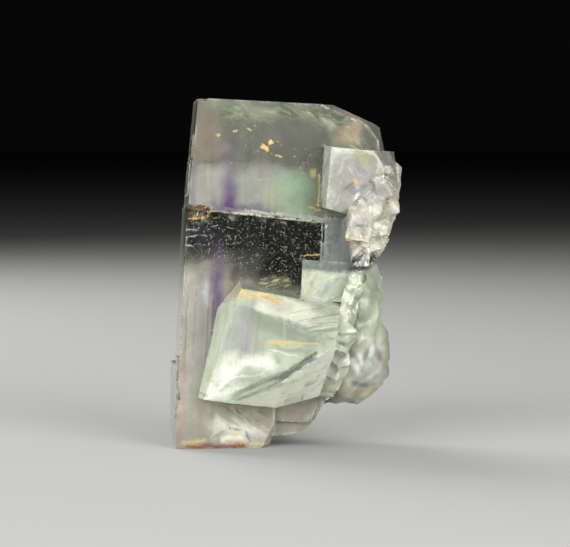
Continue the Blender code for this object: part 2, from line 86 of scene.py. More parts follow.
def sliced_copy(node, spacing):
    """A copy of a node's solid in millimetres, cut small by three families of parallel planes.

    The crystal's own edges come back marked as not smooth.
    """
    bm = bmesh.new()
    bm.from_mesh(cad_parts[node].data)
    bmesh.ops.scale(bm, vec=(1 / MM,) * 3, verts=bm.verts)
    bmesh.ops.remove_doubles(bm, verts=bm.verts, dist=0.002)
    bmesh.ops.dissolve_limit(bm, angle_limit=math.radians(0.3), verts=bm.verts, edges=bm.edges)
    for edge in bm.edges:
        edge.smooth = edge.calc_face_angle(0) < math.radians(6)
    turn = (
        Matrix.Rotation(math.radians(11), 3, "Z")
        @ Matrix.Rotation(math.radians(13), 3, "Y")
        @ Matrix.Rotation(math.radians(-9), 3, "X")
    )
    for normal in turn.col:
        reach = [v.co.dot(normal) for v in bm.verts]
        at = min(reach) + spacing / 2
        while at < max(reach):
            everything = bm.verts[:] + bm.edges[:] + bm.faces[:]
            bmesh.ops.bisect_plane(
                bm, geom=everything, dist=1e-4, plane_co=normal * at, plane_no=normal
            )
            at += spacing
    bmesh.ops.triangulate(bm, faces=bm.faces, quad_method="BEAUTY", ngon_method="BEAUTY")
    bm.normal_update()
    return bm


def edge_distances(bm):
    """For each vertex, how far it is from the nearest outward crystal edge, in millimetres."""
    rims = [e for e in bm.edges if not e.smooth and e.is_convex]
    tree = KDTree(3 * len(rims))
    for number, edge in enumerate(rims):
        start, end = (v.co for v in edge.verts)
        tree.insert(start, 3 * number)
        tree.insert((start + end) / 2, 3 * number + 1)
        tree.insert(end, 3 * number + 2)
    tree.balance()
    return [tree.find(v.co)[2] for v in bm.verts]


def soften(bm, verts, times):
    """Rounds a part of a mesh off by moving each vertex towards its neighbours."""
    for _ in range(times):
        bmesh.ops.smooth_vert(
            bm, verts=verts, factor=0.5, use_axis_x=True, use_axis_y=True, use_axis_z=True
        )
    bm.normal_update()


def solid_surface(node):
    """A node's surface in millimetres, to measure distances from."""
    bm = bmesh.new()
    bm.from_mesh(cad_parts[node].data)
    bmesh.ops.scale(bm, vec=(1 / MM,) * 3, verts=bm.verts)
    surface = BVHTree.FromBMesh(bm)
    bm.free()
    return surface


def close_gaps(bm, neighbour, reach, overlap):
    """Draws what lies close to a neighbouring crystal into it, so that no gap shows."""
    for vertex in bm.verts:
        spot, outward, _, _ = neighbour.find_nearest(vertex.co, reach)
        if spot is not None:
            vertex.co = spot - outward * overlap


def wear_edges(bm, distances, reach, rounding, chipping):
    """Rounds the crystal edges a little and breaks small uneven chips out of them."""
    moves = []
    for vertex, distance in zip(bm.verts, distances):
        near = max(0.0, 1.0 - distance / reach)
        if near:
            uneven = noise.noise(vertex.co / 1.3) + 0.25 * noise.noise(vertex.co / 0.45)
            bite = max(0.0, uneven - 0.12)
            moves.append((vertex, vertex.normal * near * near * (rounding + chipping * bite)))
    for vertex, move in moves:
        vertex.co -= move


def wave_faces(bm, distances, height, length, away=0.6):
    """Gives the flat faces the faint swells of natural growth, fading out at the crystal edges."""
    moves = []
    for vertex, distance in zip(bm.verts, distances):
        inside = min(1.0, distance / away)
        swell = noise.noise(vertex.co / length) - 0.3
        moves.append((vertex, vertex.normal * inside * height * swell))
    for vertex, move in moves:
        vertex.co += move


def store(name, bm, materials, crease):
    """Turns the millimetre mesh into a finished piece in metres, with creases over an angle."""
    bm.normal_update()
    for edge in bm.edges:
        edge.smooth = edge.calc_face_angle(0) < math.radians(crease)
    for face in bm.faces:
        face.smooth = True
    bmesh.ops.scale(bm, vec=(MM,) * 3, verts=bm.verts)
    mesh = bpy.data.meshes.new(name)
    bm.to_mesh(mesh)
    bm.free()
    for material in materials:
        mesh.materials.append(material)
    piece = bpy.data.objects.new(name, mesh)
    bpy.context.scene.collection.objects.link(piece)
    return piece


def mark(piece, name, values):
    """Keeps one number for each vertex of a piece, for its finish to read."""
    piece.data.attributes.new(name, "FLOAT", "POINT").data.foreach_set("value", values)


# ---------------------------------------------------------------- nodes


class Paint:
    """Lays nodes into one tree. Each call puts in a node and hands back its output socket."""

    def __init__(self, tree):
        self.tree = tree

    def node(self, kind, inputs=(), **settings):
        """A node of a kind, with its settings made and its inputs set or linked."""
        made = self.tree.nodes.new(kind)
        for name, value in settings.items():
            setattr(made, name, value)
        for name, value in inputs:
            if isinstance(value, bpy.types.NodeSocket):
                self.tree.links.new(value, made.inputs[name])
            else:
                made.inputs[name].default_value = value
        return made

    def maths(self, operation, first, second=0.0, clamp=False):
        """One sum on plain numbers."""
        inputs = ((0, first), (1, second))
        return self.node("ShaderNodeMath", inputs, operation=operation, use_clamp=clamp).outputs[0]

    def times(self, first, second, clamp=False):
        """One number times another."""
        return self.maths("MULTIPLY", first, second, clamp)

    def plus(self, first, second):
        """One number added to another."""
        return self.maths("ADD", first, second)

    def minus(self, first, second):
        """One number less another."""
        return self.maths("SUBTRACT", first, second)

    def vector(self, operation, first, second=(0, 0, 0)):
        """One sum on vectors."""
        inputs = ((0, first), (1, second))
        return self.node("ShaderNodeVectorMath", inputs, operation=operation).outputs[0]

    def scaled(self, vector, factor):
        """A vector, or a colour, times one number."""
        inputs = ((0, vector), (3, factor))
        return self.node("ShaderNodeVectorMath", inputs, operation="SCALE").outputs[0]

    def parts(self, vector):
        """The three numbers of a vector."""
        return self.node("ShaderNodeSeparateXYZ", ((0, vector),)).outputs

    def rise(self, value, start, end):
        """A smooth step from 0 at start to 1 at end, or back from 1 to 0."""
        inputs = (("Value", value), ("From Min", start), ("From Max", end))
        return self.node("ShaderNodeMapRange", inputs, interpolation_type="SMOOTHSTEP").outputs[0]

    def over(self, below, above, mask):
        """The colour above laid over what is below, where the mask says."""
        inputs = ((0, mask), (6, below), (7, (*above, 1.0)))
        return self.node("ShaderNodeMix", inputs, data_type="RGBA").outputs[2]

    def noise(self, place, size, detail=3.0, roughness=0.55, output="Fac"):
        """Cloudy noise with blotches of about this size."""
        look = (("Scale", 1 / size), ("Detail", detail), ("Roughness", roughness))
        return self.node("ShaderNodeTexNoise", (("Vector", place), *look)).outputs[output]

    def cells(self, place, scale):
        """Irregular cells: the distance from a cell's middle, its chance colour and its place."""
        return self.node("ShaderNodeTexVoronoi", (("Vector", place), ("Scale", scale))).outputs

    def stretched(self, place, scale):
        """The place stretched by a factor along each axis."""
        return self.node("ShaderNodeMapping", (("Vector", place), ("Scale", scale))).outputs[0]

    def tilted(self, place, angle, centre=(0, 0, 0)):
        """The place turned by radians about the front-to-back line through a centre."""
        inputs = (("Vector", place), ("Center", centre), ("Angle", angle))
        return self.node("ShaderNodeVectorRotate", inputs, rotation_type="Y_AXIS").outputs[0]

    def stirred(self, place, size, amount, detail=2.0):
        """The place pushed about by noise, so that what is drawn on it gets uneven borders."""
        push = self.vector("SUBTRACT", self.noise(place, size, detail, output="Color"), (0.5,) * 3)
        return self.vector("ADD", place, self.vector("MULTIPLY", push, (2 * amount,) * 3))

    def group(self, tree, inputs):
        """A node group put in, with all its outputs by name."""
        return self.node("ShaderNodeGroup", inputs, node_tree=tree).outputs


def node_group(name, vectors, numbers, output="Mask"):
    """An empty node group with its sockets, and the paint, entry and exit to fill it with."""
    tree = bpy.data.node_groups.new(name, "ShaderNodeTree")
    for socket in vectors:
        tree.interface.new_socket(socket, in_out="INPUT", socket_type="NodeSocketVector")
    for socket in numbers:
        tree.interface.new_socket(socket, in_out="INPUT", socket_type="NodeSocketFloat")
    tree.interface.new_socket(output, in_out="OUTPUT", socket_type="NodeSocketFloat")
    paint = Paint(tree)
    entry = paint.node("NodeGroupInput").outputs
    leave = paint.node("NodeGroupOutput").inputs[output]
    return paint, entry, leave


def zone_group():
    """A tilted box with a soft border, for zones and stains: 1 in its core and half at its faces.

    Tilt is the angle of the box's long side above the level, as seen from the front.
    """
    paint, entry, leave = node_group("growth_zone", ("Place", "Centre", "Half", "Soft"), ("Tilt",))
    turned = paint.tilted(entry["Place"], paint.maths("RADIANS", entry["Tilt"]), entry["Centre"])
    apart = paint.vector("ABSOLUTE", paint.vector("SUBTRACT", turned, entry["Centre"]))
    half_soft = paint.vector("MULTIPLY", entry["Soft"], (0.5,) * 3)
    core = paint.vector("MAXIMUM", paint.vector("SUBTRACT", entry["Half"], half_soft), (0, 0, 0))
    beyond = paint.vector("MAXIMUM", paint.vector("SUBTRACT", apart, core), (0, 0, 0))
    share = paint.vector("DIVIDE", beyond, entry["Soft"])
    length = paint.node("ShaderNodeVectorMath", ((0, share),), operation="LENGTH").outputs["Value"]
    paint.tree.links.new(paint.rise(length, 1.0, 0.0), leave)
    return paint.tree


def fleck_group():
    """Scattered uneven flecks: how far apart they may lie, and how many and how large they are."""
    paint, entry, leave = node_group("flecks", ("Place",), ("Spacing", "Amount"))
    scale = paint.maths("DIVIDE", 1.0, entry["Spacing"])
    inputs = (("Vector", entry["Place"]), ("Scale", scale), ("Detail", 3.0), ("Roughness", 0.7))
    grained = paint.node("ShaderNodeTexNoise", inputs).outputs["Color"]
    push = paint.vector("MULTIPLY", paint.vector("SUBTRACT", grained, (0.5,) * 3), (0.9,) * 3)
    pushed = paint.vector("ADD", entry["Place"], paint.scaled(push, entry["Spacing"]))
    cells = paint.cells(pushed, scale)
    chance = paint.parts(cells["Color"])[0]
    size = paint.times(paint.minus(entry["Amount"], chance), 0.55)
    inside = paint.minus(size, cells["Distance"])
    paint.tree.links.new(paint.times(inside, 14.0, clamp=True), leave)
    return paint.tree


def scratch_group():
    """Short straight scratches at all angles on a front face."""
    numbers = ("Spacing", "Length", "Width", "Amount")
    paint, entry, leave = node_group("scratches", ("Place",), numbers)
    flat = paint.vector("MULTIPLY", paint.stirred(entry["Place"], 2.0, 0.12), (1, 0, 1))
    cells = paint.cells(flat, paint.maths("DIVIDE", 1.0, entry["Spacing"]))
    chance = paint.parts(cells["Color"])
    middle = cells["Position"]
    turned = paint.tilted(flat, paint.times(chance[0], math.pi), middle)
    apart = paint.parts(paint.vector("ABSOLUTE", paint.vector("SUBTRACT", turned, middle)))
    reach = paint.times(entry["Length"], chance[1])
    along = paint.times(paint.minus(reach, apart[0]), 6.0, clamp=True)
    inside = paint.minus(entry["Width"], apart[2])
    beside = paint.maths("DIVIDE", inside, entry["Width"], clamp=True)
    shown = paint.maths("LESS_THAN", chance[2], entry["Amount"])
    mask = paint.times(paint.times(along, beside), shown)
    paint.tree.links.new(mask, leave)
    return paint.tree


def wisp_group():
    """Feathery streaks lying one way, as growth leaves them inside a crystal.

    Tilt is their angle above the level, Size how wide they are, and Share how much they cover.
    """
    paint, entry, leave = node_group("wisps", ("Place",), ("Tilt", "Size", "Share"))
    turned = paint.tilted(entry["Place"], paint.maths("RADIANS", entry["Tilt"]))
    drawn = paint.vector("MULTIPLY", paint.stirred(turned, 3.0, 0.8), (0.26, 0.6, 1.0))
    inputs = (
        ("Vector", drawn), ("Scale", paint.maths("DIVIDE", 1.0, entry["Size"])),
        ("Detail", 5.0), ("Roughness", 0.6), ("Distortion", 0.7),
    )
    cloud = paint.node("ShaderNodeTexNoise", inputs).outputs["Fac"]
    start = paint.minus(0.68, paint.times(entry["Share"], 0.32))
    paint.tree.links.new(paint.rise(cloud, start, paint.plus(start, 0.13)), leave)
    return paint.tree


def relief_group():
    """The fine relief of a crystal face, in millimetres: swells, growth lines, grain and pits."""
    paint, entry, leave = node_group("face_relief", ("Place",), ("Lines", "Rough"), output="Height")
    place = entry["Place"]
    swells = paint.times(paint.noise(place, 3.2, 2.0), 0.10)
    drawn = paint.stirred(place, 4.0, 0.25)
    level_lines = paint.noise(paint.stretched(drawn, (0.12, 0.12, 2.6)), 1.0, 2.0)
    upright_lines = paint.noise(paint.stretched(drawn, (2.4, 2.4, 0.10)), 1.0, 2.0)
    lines = paint.times(paint.plus(level_lines, upright_lines), entry["Lines"])
    grain = paint.times(paint.noise(place, 0.45, 4.0, 0.65), entry["Rough"])
    distance = paint.cells(paint.stirred(place, 0.8, 0.2), 1 / 1.1)["Distance"]
    gathered = paint.rise(paint.noise(place, 5.0, 2.0), 0.48, 0.62)
    pits = paint.times(paint.rise(distance, 0.26, 0.10), gathered)
    sunk = paint.times(pits, -0.03)
    total = paint.plus(paint.plus(swells, lines), paint.plus(grain, sunk))
    paint.tree.links.new(total, leave)
    return paint.tree


GROWTH_ZONE = zone_group()
FLECKS = fleck_group()
SCRATCHES = scratch_group()
WISPS = wisp_group()
FACE_RELIEF = relief_group()

# How a zone's border runs, and how deep the zone goes (the middle and half of its depth)
STRAIGHT, CLOUDED, RAGGED, FRAYED, WISPY = "straight", "clouded", "ragged", "frayed", "wispy"
THROUGH = (0.0, 60.0)
FRONT = (-32.0, 26.0)
DEPTH_SOFT = 3.0

LEDGE_TILT = -6.1  # how the ledge's edge runs down to the right, as seen from the front


class Finish:
    """One clear crystal's finish: a ground colour, zones over it, relief and polish."""

    def __init__(self, name, ior, transmission, ground, coat=0.35):
        self.material = bpy.data.materials.new(name)
        self.material.use_nodes = True
        self.paint = paint = Paint(self.material.node_tree)
        self.shader = self.material.node_tree.nodes["Principled BSDF"].inputs
        self.shader["IOR"].default_value = ior
        self.shader["Transmission Weight"].default_value = transmission
        self.shader["Coat Weight"].default_value = coat
        self.shader["Coat Roughness"].default_value = 0.08
        here = paint.node("ShaderNodeTexCoord").outputs
        facing = paint.parts(here["Normal"])
        self.upward = facing[2]
        self.leftward = paint.times(facing[0], -1.0)
        self.forward = paint.times(facing[1], -1.0)
        place = paint.stretched(here["Object"], (1 / MM,) * 3)
        streaky = paint.noise(paint.stretched(place, (0.25, 1, 1.3)), 1.6, 4.0, output="Color")
        push = paint.vector("SUBTRACT", streaky, (0.5,) * 3)
        self.place = {
            STRAIGHT: place,
            CLOUDED: paint.stirred(place, 5.0, 2.6, 4.0),
            RAGGED: paint.stirred(place, 1.3, 0.55, 4.0),
            FRAYED: paint.stirred(place, 0.55, 0.6, 4.0),
            WISPY: paint.vector("ADD", place, paint.vector("MULTIPLY", push, (2, 2, 4.5))),
        }
        self.colour = paint.node("ShaderNodeRGB").outputs[0]
        self.colour.default_value = (*ground, 1.0)

    def mask(self, x, z, wide, tall, soft, tilt=0.0, border=CLOUDED, depth=FRONT):
        """A zone's mask: its middle, half its width and height, its soft border and its tilt."""
        softness = soft if isinstance(soft, tuple) else (soft, soft)
        inputs = (
            ("Place", self.place[border]),
            ("Centre", (x, depth[0], z)),
            ("Half", (wide, depth[1], tall)),
            ("Soft", (softness[0], DEPTH_SOFT, softness[1])),
            ("Tilt", tilt),
        )
        return self.paint.group(GROWTH_ZONE, inputs)["Mask"]

    def behind(self, start, end):
        """A mask that rises from one depth to another, with a cloudy border."""
        return self.paint.rise(self.paint.parts(self.place[CLOUDED])[1], start, end)

    def lay(self, colour, mask, strength=1.0):
        """Lays a colour over what is there."""
        if strength != 1.0:
            mask = self.paint.times(mask, strength)
        self.colour = self.paint.over(self.colour, colour, mask)

    def zones(self, rows, depth=FRONT):
        """Lays zones one over the other, each given as a colour, a strength and where it lies.

        Where it lies is its middle across and up, half its width and height, its soft border,
        and if need be its tilt and how its border runs.
        """
        for colour, strength, *where in rows:
            self.lay(colour, self.mask(*where, depth=depth), strength)

    def spread(self, tree, colour, within=None, strength=1.0, flat=False, **values):
        """Lays a pattern from a node group in a colour, all over or within a mask.

        A flat pattern is drawn as seen from the front, the same at every depth.
        """
        place = self.place[STRAIGHT]
        if flat:
            place = self.paint.vector("MULTIPLY", place, (1, 0, 1))
        mask = self.paint.group(tree, (("Place", place), *values.items()))["Mask"]
        if within is not None:
            mask = self.paint.times(mask, within)
        self.lay(colour, mask, strength)

    def wisps(self, within, rows):
        """Lays feathery streaks, each kind as a colour, strength, tilt, size and share."""
        for colour, strength, tilt, size, share in rows:
            self.spread(WISPS, colour, within, strength, Tilt=tilt, Size=size, Share=share)

    def flecks(self, within, colour, strength, spacing, amount):
        """Lays scattered flecks, drawn as seen from the front."""
        self.spread(FLECKS, colour, within, strength, flat=True, Spacing=spacing, Amount=amount)

    def vary(self, pattern, darkest, lightest, within=None):
        """Makes the colour darker and lighter by a pattern, between these factors."""
        inputs = (
            ("Value", pattern), ("From Min", 0.3), ("From Max", 0.7),
            ("To Min", darkest), ("To Max", lightest),
        )
        factor = self.paint.node("ShaderNodeMapRange", inputs).outputs[0]
        if within is not None:
            change = self.paint.times(self.paint.minus(factor, 1.0), within)
            factor = self.paint.plus(change, 1.0)
        self.colour = self.paint.scaled(self.colour, factor)

    def cloud_over(self, size, darkest, lightest):
        """Makes the colour uneven in soft clouds."""
        self.vary(self.paint.noise(self.place[CLOUDED], size, 5.0, 0.6), darkest, lightest)

    def streak(self, tilt, spacing, long, darkest, lightest, within=None):
        """Fine bands along a direction, as growth lines show inside a crystal."""
        across = self.paint.tilted(self.place[STRAIGHT], math.radians(tilt))
        drawn = self.paint.stretched(across, (1 / long, 1 / long, 1 / spacing))
        self.vary(self.paint.noise(drawn, 1.0, 3.0, 0.6), darkest, lightest, within)

    def absorb(self, colour, density):
        """Lets the crystal take colour out of the light by how far it goes through it.

        Only a piece that has this one finish can do so, since a ray has to leave by the finish
        that it came in by.
        """
        inputs = (("Color", (*colour, 1.0)), ("Density", density))
        inside = self.paint.node("ShaderNodeVolumeAbsorption", inputs).outputs[0]
        self.paint.tree.links.new(inside, self.paint.tree.nodes["Material Output"].inputs["Volume"])

    def close(self, lines, rough, polish, worn=0.16, uneven=0.22):
        """Adds the relief, the worn edges and the polish, and joins all to the shader."""
        paint = self.paint
        place = self.place[STRAIGHT]
        relief = paint.group(FACE_RELIEF, (("Place", place), ("Lines", lines), ("Rough", rough)))
        wear = paint.node("ShaderNodeAttribute", (), attribute_name="edge_wear").outputs["Fac"]
        patchy = paint.rise(paint.noise(place, 2.4, 3.0), 0.36, 0.62)
        broken = paint.times(wear, patchy)
        self.lay(EDGE_CREAM, paint.times(broken, worn))
        dull = paint.times(paint.noise(self.place[CLOUDED], 2.2, 4.0), uneven)
        dull = paint.plus(dull, polish)
        dull = paint.plus(dull, paint.times(broken, 0.3))
        inputs = (("Strength", 1.0), ("Distance", MM), ("Height", relief["Height"]))
        bump = paint.node("ShaderNodeBump", inputs).outputs[0]
        for socket, value in (("Base Color", self.colour), ("Roughness", dull), ("Normal", bump)):
            paint.tree.links.new(value, self.shader[socket])
        return self.material


# ---------------------------------------------------------------- colours

PALE_GREEN = (0.60, 0.68, 0.50)
RIND_GREEN = (0.80, 0.90, 0.66)
GREY_GREEN = (0.36, 0.41, 0.32)
SHADE_GREEN = (0.23, 0.27, 0.21)
SHADE_CREAM = (0.40, 0.43, 0.31)
HEART_GREEN = (0.46, 0.52, 0.40)
HEART_SHADE = (0.32, 0.37, 0.29)
# painted light, for faces that the lamps leave in shade
PAINTED_LIGHT_GREEN = (0.97, 1.0, 0.82)
ROOF_CREAM = (0.92, 0.93, 0.74)
PLATE_CREAM = (0.60, 0.64, 0.49)
DUST_GREY = (0.20, 0.21, 0.17)
SMOKY = (0.185, 0.19, 0.155)
DARK_SMOKY = (0.12, 0.13, 0.105)
UPPER_SMOKE = (0.155, 0.16, 0.13)
CLEAR_GREEN = (0.30, 0.42, 0.28)
LIME = (0.42, 0.47, 0.28)
LEMON_GREY = (0.40, 0.40, 0.20)
SIDE_SMOKE = (0.33, 0.345, 0.27)
VIOLET_SMOKE = (0.20, 0.16, 0.22)
MOSS = (0.09, 0.14, 0.09)
CREAM = (0.72, 0.74, 0.58)
EDGE_CREAM = (0.78, 0.78, 0.64)
WHITE = (0.90, 0.92, 0.80)
# a painted glow, and painted glints
PAINTED_GLOW = (0.98, 0.99, 0.87)
MILK = (0.32, 0.30, 0.245)
PEARL = (0.50, 0.50, 0.46)
LEFT_LIGHT = (0.37, 0.34, 0.30)
LILAC_GREY = (0.34, 0.315, 0.33)
MAUVE = (0.27, 0.215, 0.17)
PURPLE = (0.16, 0.11, 0.20)
DEEP_PURPLE = (0.09, 0.05, 0.14)
# painted darkness, where the dark room shows through clear crystal and on facets in shade
PAINTED_SEE_THROUGH_DARK = (0.010, 0.011, 0.010)
BLUE_GREY = (0.19, 0.23, 0.21)
BLUE_WHITE = (0.50, 0.55, 0.60)
PEARL_WHITE = (0.70, 0.72, 0.62)
ICE_BLUE = (0.34, 0.45, 0.48)
SAND = (0.42, 0.35, 0.24)
YELLOW = (0.72, 0.61, 0.27)
ORANGE = (0.68, 0.44, 0.14)
FLAKE_GOLD = (0.86, 0.62, 0.25)
IRON_CREAM = (0.80, 0.62, 0.27)
AMBER = (0.55, 0.30, 0.08)
RUST = (0.22, 0.07, 0.03)
NICK_BROWN = (0.045, 0.03, 0.025)
ROSE = (0.42, 0.27, 0.25)
ROOF_PINK = (0.62, 0.55, 0.47)
VIOLET_GREY = (0.40, 0.34, 0.42)
FAINT_DUST = (0.45, 0.42, 0.33)
YELLOW_DUST = (0.50, 0.46, 0.28)
GREEN_DUST = (0.36, 0.39, 0.23)
BRIGHT_DUST = (0.60, 0.58, 0.44)
SCRATCH_SAND = (0.45, 0.42, 0.30)
CUBE_GREY = (0.33, 0.33, 0.28)
BACK_GREEN = (0.38, 0.43, 0.33)
REAR_GREEN = (0.38, 0.41, 0.31)
REAR_DEPTH = (0.70, 0.78, 0.62)
CLEAR_CREAM = (0.66, 0.64, 0.52)
SEAM_GREEN = (0.46, 0.50, 0.38)


# ---------------------------------------------------------------- the crystals' finishes


def upper_storey_finish():
    """The upper storey of the tall crystal: smoky above, clear green and violet below."""
    finish = Finish("upper_storey_fluorite", FLUORITE_IOR, 0.5, UPPER_SMOKE, coat=0.2)
    finish.zones(depth=THROUGH, rows=[
        (MAUVE, 0.85, -14.6, 53.5, 2, 4.2, (5.5, 2.6)),
        (SMOKY, 0.6, -13, 57.4, 3, 0.6, (4, 2), -4),
        (DARK_SMOKY, 0.7, 1, 50.6, 8, 2, (6, 3)),
        (MAUVE, 0.3, -3.2, 49.6, 0.8, 3.6, (1.6, 3)),
        (PEARL, 0.5, -8, 44, 9.5, 3.6, (5, 3.4)),
        (CLEAR_GREEN, 0.8, 2, 43, 3, 4.2, (7, 3.6)),
        (LIME, 0.5, -1.6, 43.6, 1, 1.8, 3.4),
        (LEFT_LIGHT, 0.8, -13.6, 44, 1.2, 4.6, (1.2, 0.9), 0, STRAIGHT),
        (PURPLE, 0.4, -15.6, 44.5, 0.3, 4.4, (0.7, 2.4), 0, STRAIGHT),
        (PURPLE, 0.4, -9.4, 48.6, 0.5, 4.6, (2.2, 4), 0, RAGGED),
        (PURPLE, 0.85, -9.4, 42.6, 0.6, 3.6, (2.4, 3.4), 0, RAGGED),
        (DEEP_PURPLE, 0.9, -9.3, 41.4, 0.9, 1, (2.2, 2.8), 0, RAGGED),
        (PURPLE, 0.6, -5.4, 40.4, 2.4, 0.3, (3.6, 1.4), -4),
        (PURPLE, 0.4, -13, 41, 1.4, 0.3, (1.6, 1.2)),
        (GREY_GREEN, 0.5, 2.6, 39.6, 3.4, 0.6, (2, 1.6), -6),
        (SAND, 0.85, 11, 54.6, 2, 2.6, 2.8, -42),
    ])
    finish.lay(SIDE_SMOKE, finish.behind(-1.0, 3.5))
    finish.zones([
        # the pale, wispy top edge and the cloudy corner
        (LIME, 0.2, 1, 57.2, 7, 0.6, (3, 2), -4),
        (GREY_GREEN, 0.4, -8, 58.4, 6, 0.6, (4, 2), -4),
        (CREAM, 0.4, 7.6, 56.2, 0.8, 0.6, (1.8, 1.6), -40),
        (MOSS, 0.5, 10.8, 56.4, 0.8, 0.5, (1.4, 1), -30, RAGGED),
        (MOSS, 0.6, 15.4, 53, 0.6, 0.5, (1.2, 1), 30, RAGGED),
        (ROSE, 0.3, -10.6, 50.4, 0.8, 0.4, (2.4, 1.6)),
    ])
    top_edge = finish.mask(-0.6, 57.4, 11, 1.2, (3, 2.4), -3)
    finish.wisps(top_edge, [
        (MOSS, 0.75, -20, 1.7, 0.75),
        (LIME, 0.45, -14, 1.2, 0.6),
        (SAND, 0.7, -34, 0.8, 0.5),
    ])
    corner = finish.mask(12.6, 54, 4, 2.6, 1.6, -42)
    finish.wisps(corner, [(MOSS, 0.6, -52, 1.4, 0.5), (CREAM, 0.4, -40, 1, 0.5)])
    finish.zones([
        # iron flakes on the face
        (FLAKE_GOLD, 1, -3.3, 51.4, 0.7, 0.3, (0.3, 0.25), -34, FRAYED),
        (FLAKE_GOLD, 1, -2.3, 52.3, 0.36, 0.3, (0.3, 0.25), 30, FRAYED),
        (YELLOW, 0.9, -0.9, 50, 0.6, 0.16, (0.4, 0.2), -10, FRAYED),
        (YELLOW, 0.9, -8.4, 54.2, 0.4, 0.18, (0.3, 0.2), -8, FRAYED),
        (YELLOW, 0.9, -11.2, 53.6, 0.26, 0.26, (0.3, 0.2), 40, FRAYED),
        (YELLOW, 0.9, -6, 54.5, 0.4, 0.16, (0.3, 0.2), -30, FRAYED),
        # iron in the corner beside the cube
        (YELLOW, 0.6, 4.9, 47, 0.5, 0.7, 0.6, 0, FRAYED),
        (ORANGE, 0.9, 5.2, 40.9, 1.1, 0.16, (0.4, 0.3), -20, FRAYED),
        (YELLOW, 0.8, 5.9, 44, 2.8, 0.14, (0.6, 0.25), 88, FRAYED),
        # the worn left edge
        (CREAM, 0.7, -16.1, 50.3, 8.6, 0.1, (1, 0.3), 83.8, FRAYED),
    ])
    upper = finish.mask(-3, 50, 11, 9, 2)
    finish.flecks(upper, FAINT_DUST, 0.8, 1, 0.3)
    cluster = finish.mask(-1.6, 51.4, 2, 1.2, (2.4, 1.6), -20)
    finish.flecks(cluster, YELLOW, 0.8, 0.55, 0.5)
    near_cube = finish.mask(3, 48.2, 2, 2, 2.6)
    finish.flecks(near_cube, YELLOW_DUST, 0.9, 0.45, 0.75)
    finish.cloud_over(2.6, 0.88, 1.14)
    finish.streak(88, 1.3, 16.0, 0.9, 1.1, finish.mask(-9, 49, 9, 9, 4))
    return finish.close(lines=0.008, rough=0.004, polish=0.06, worn=0.08, uneven=0.12)


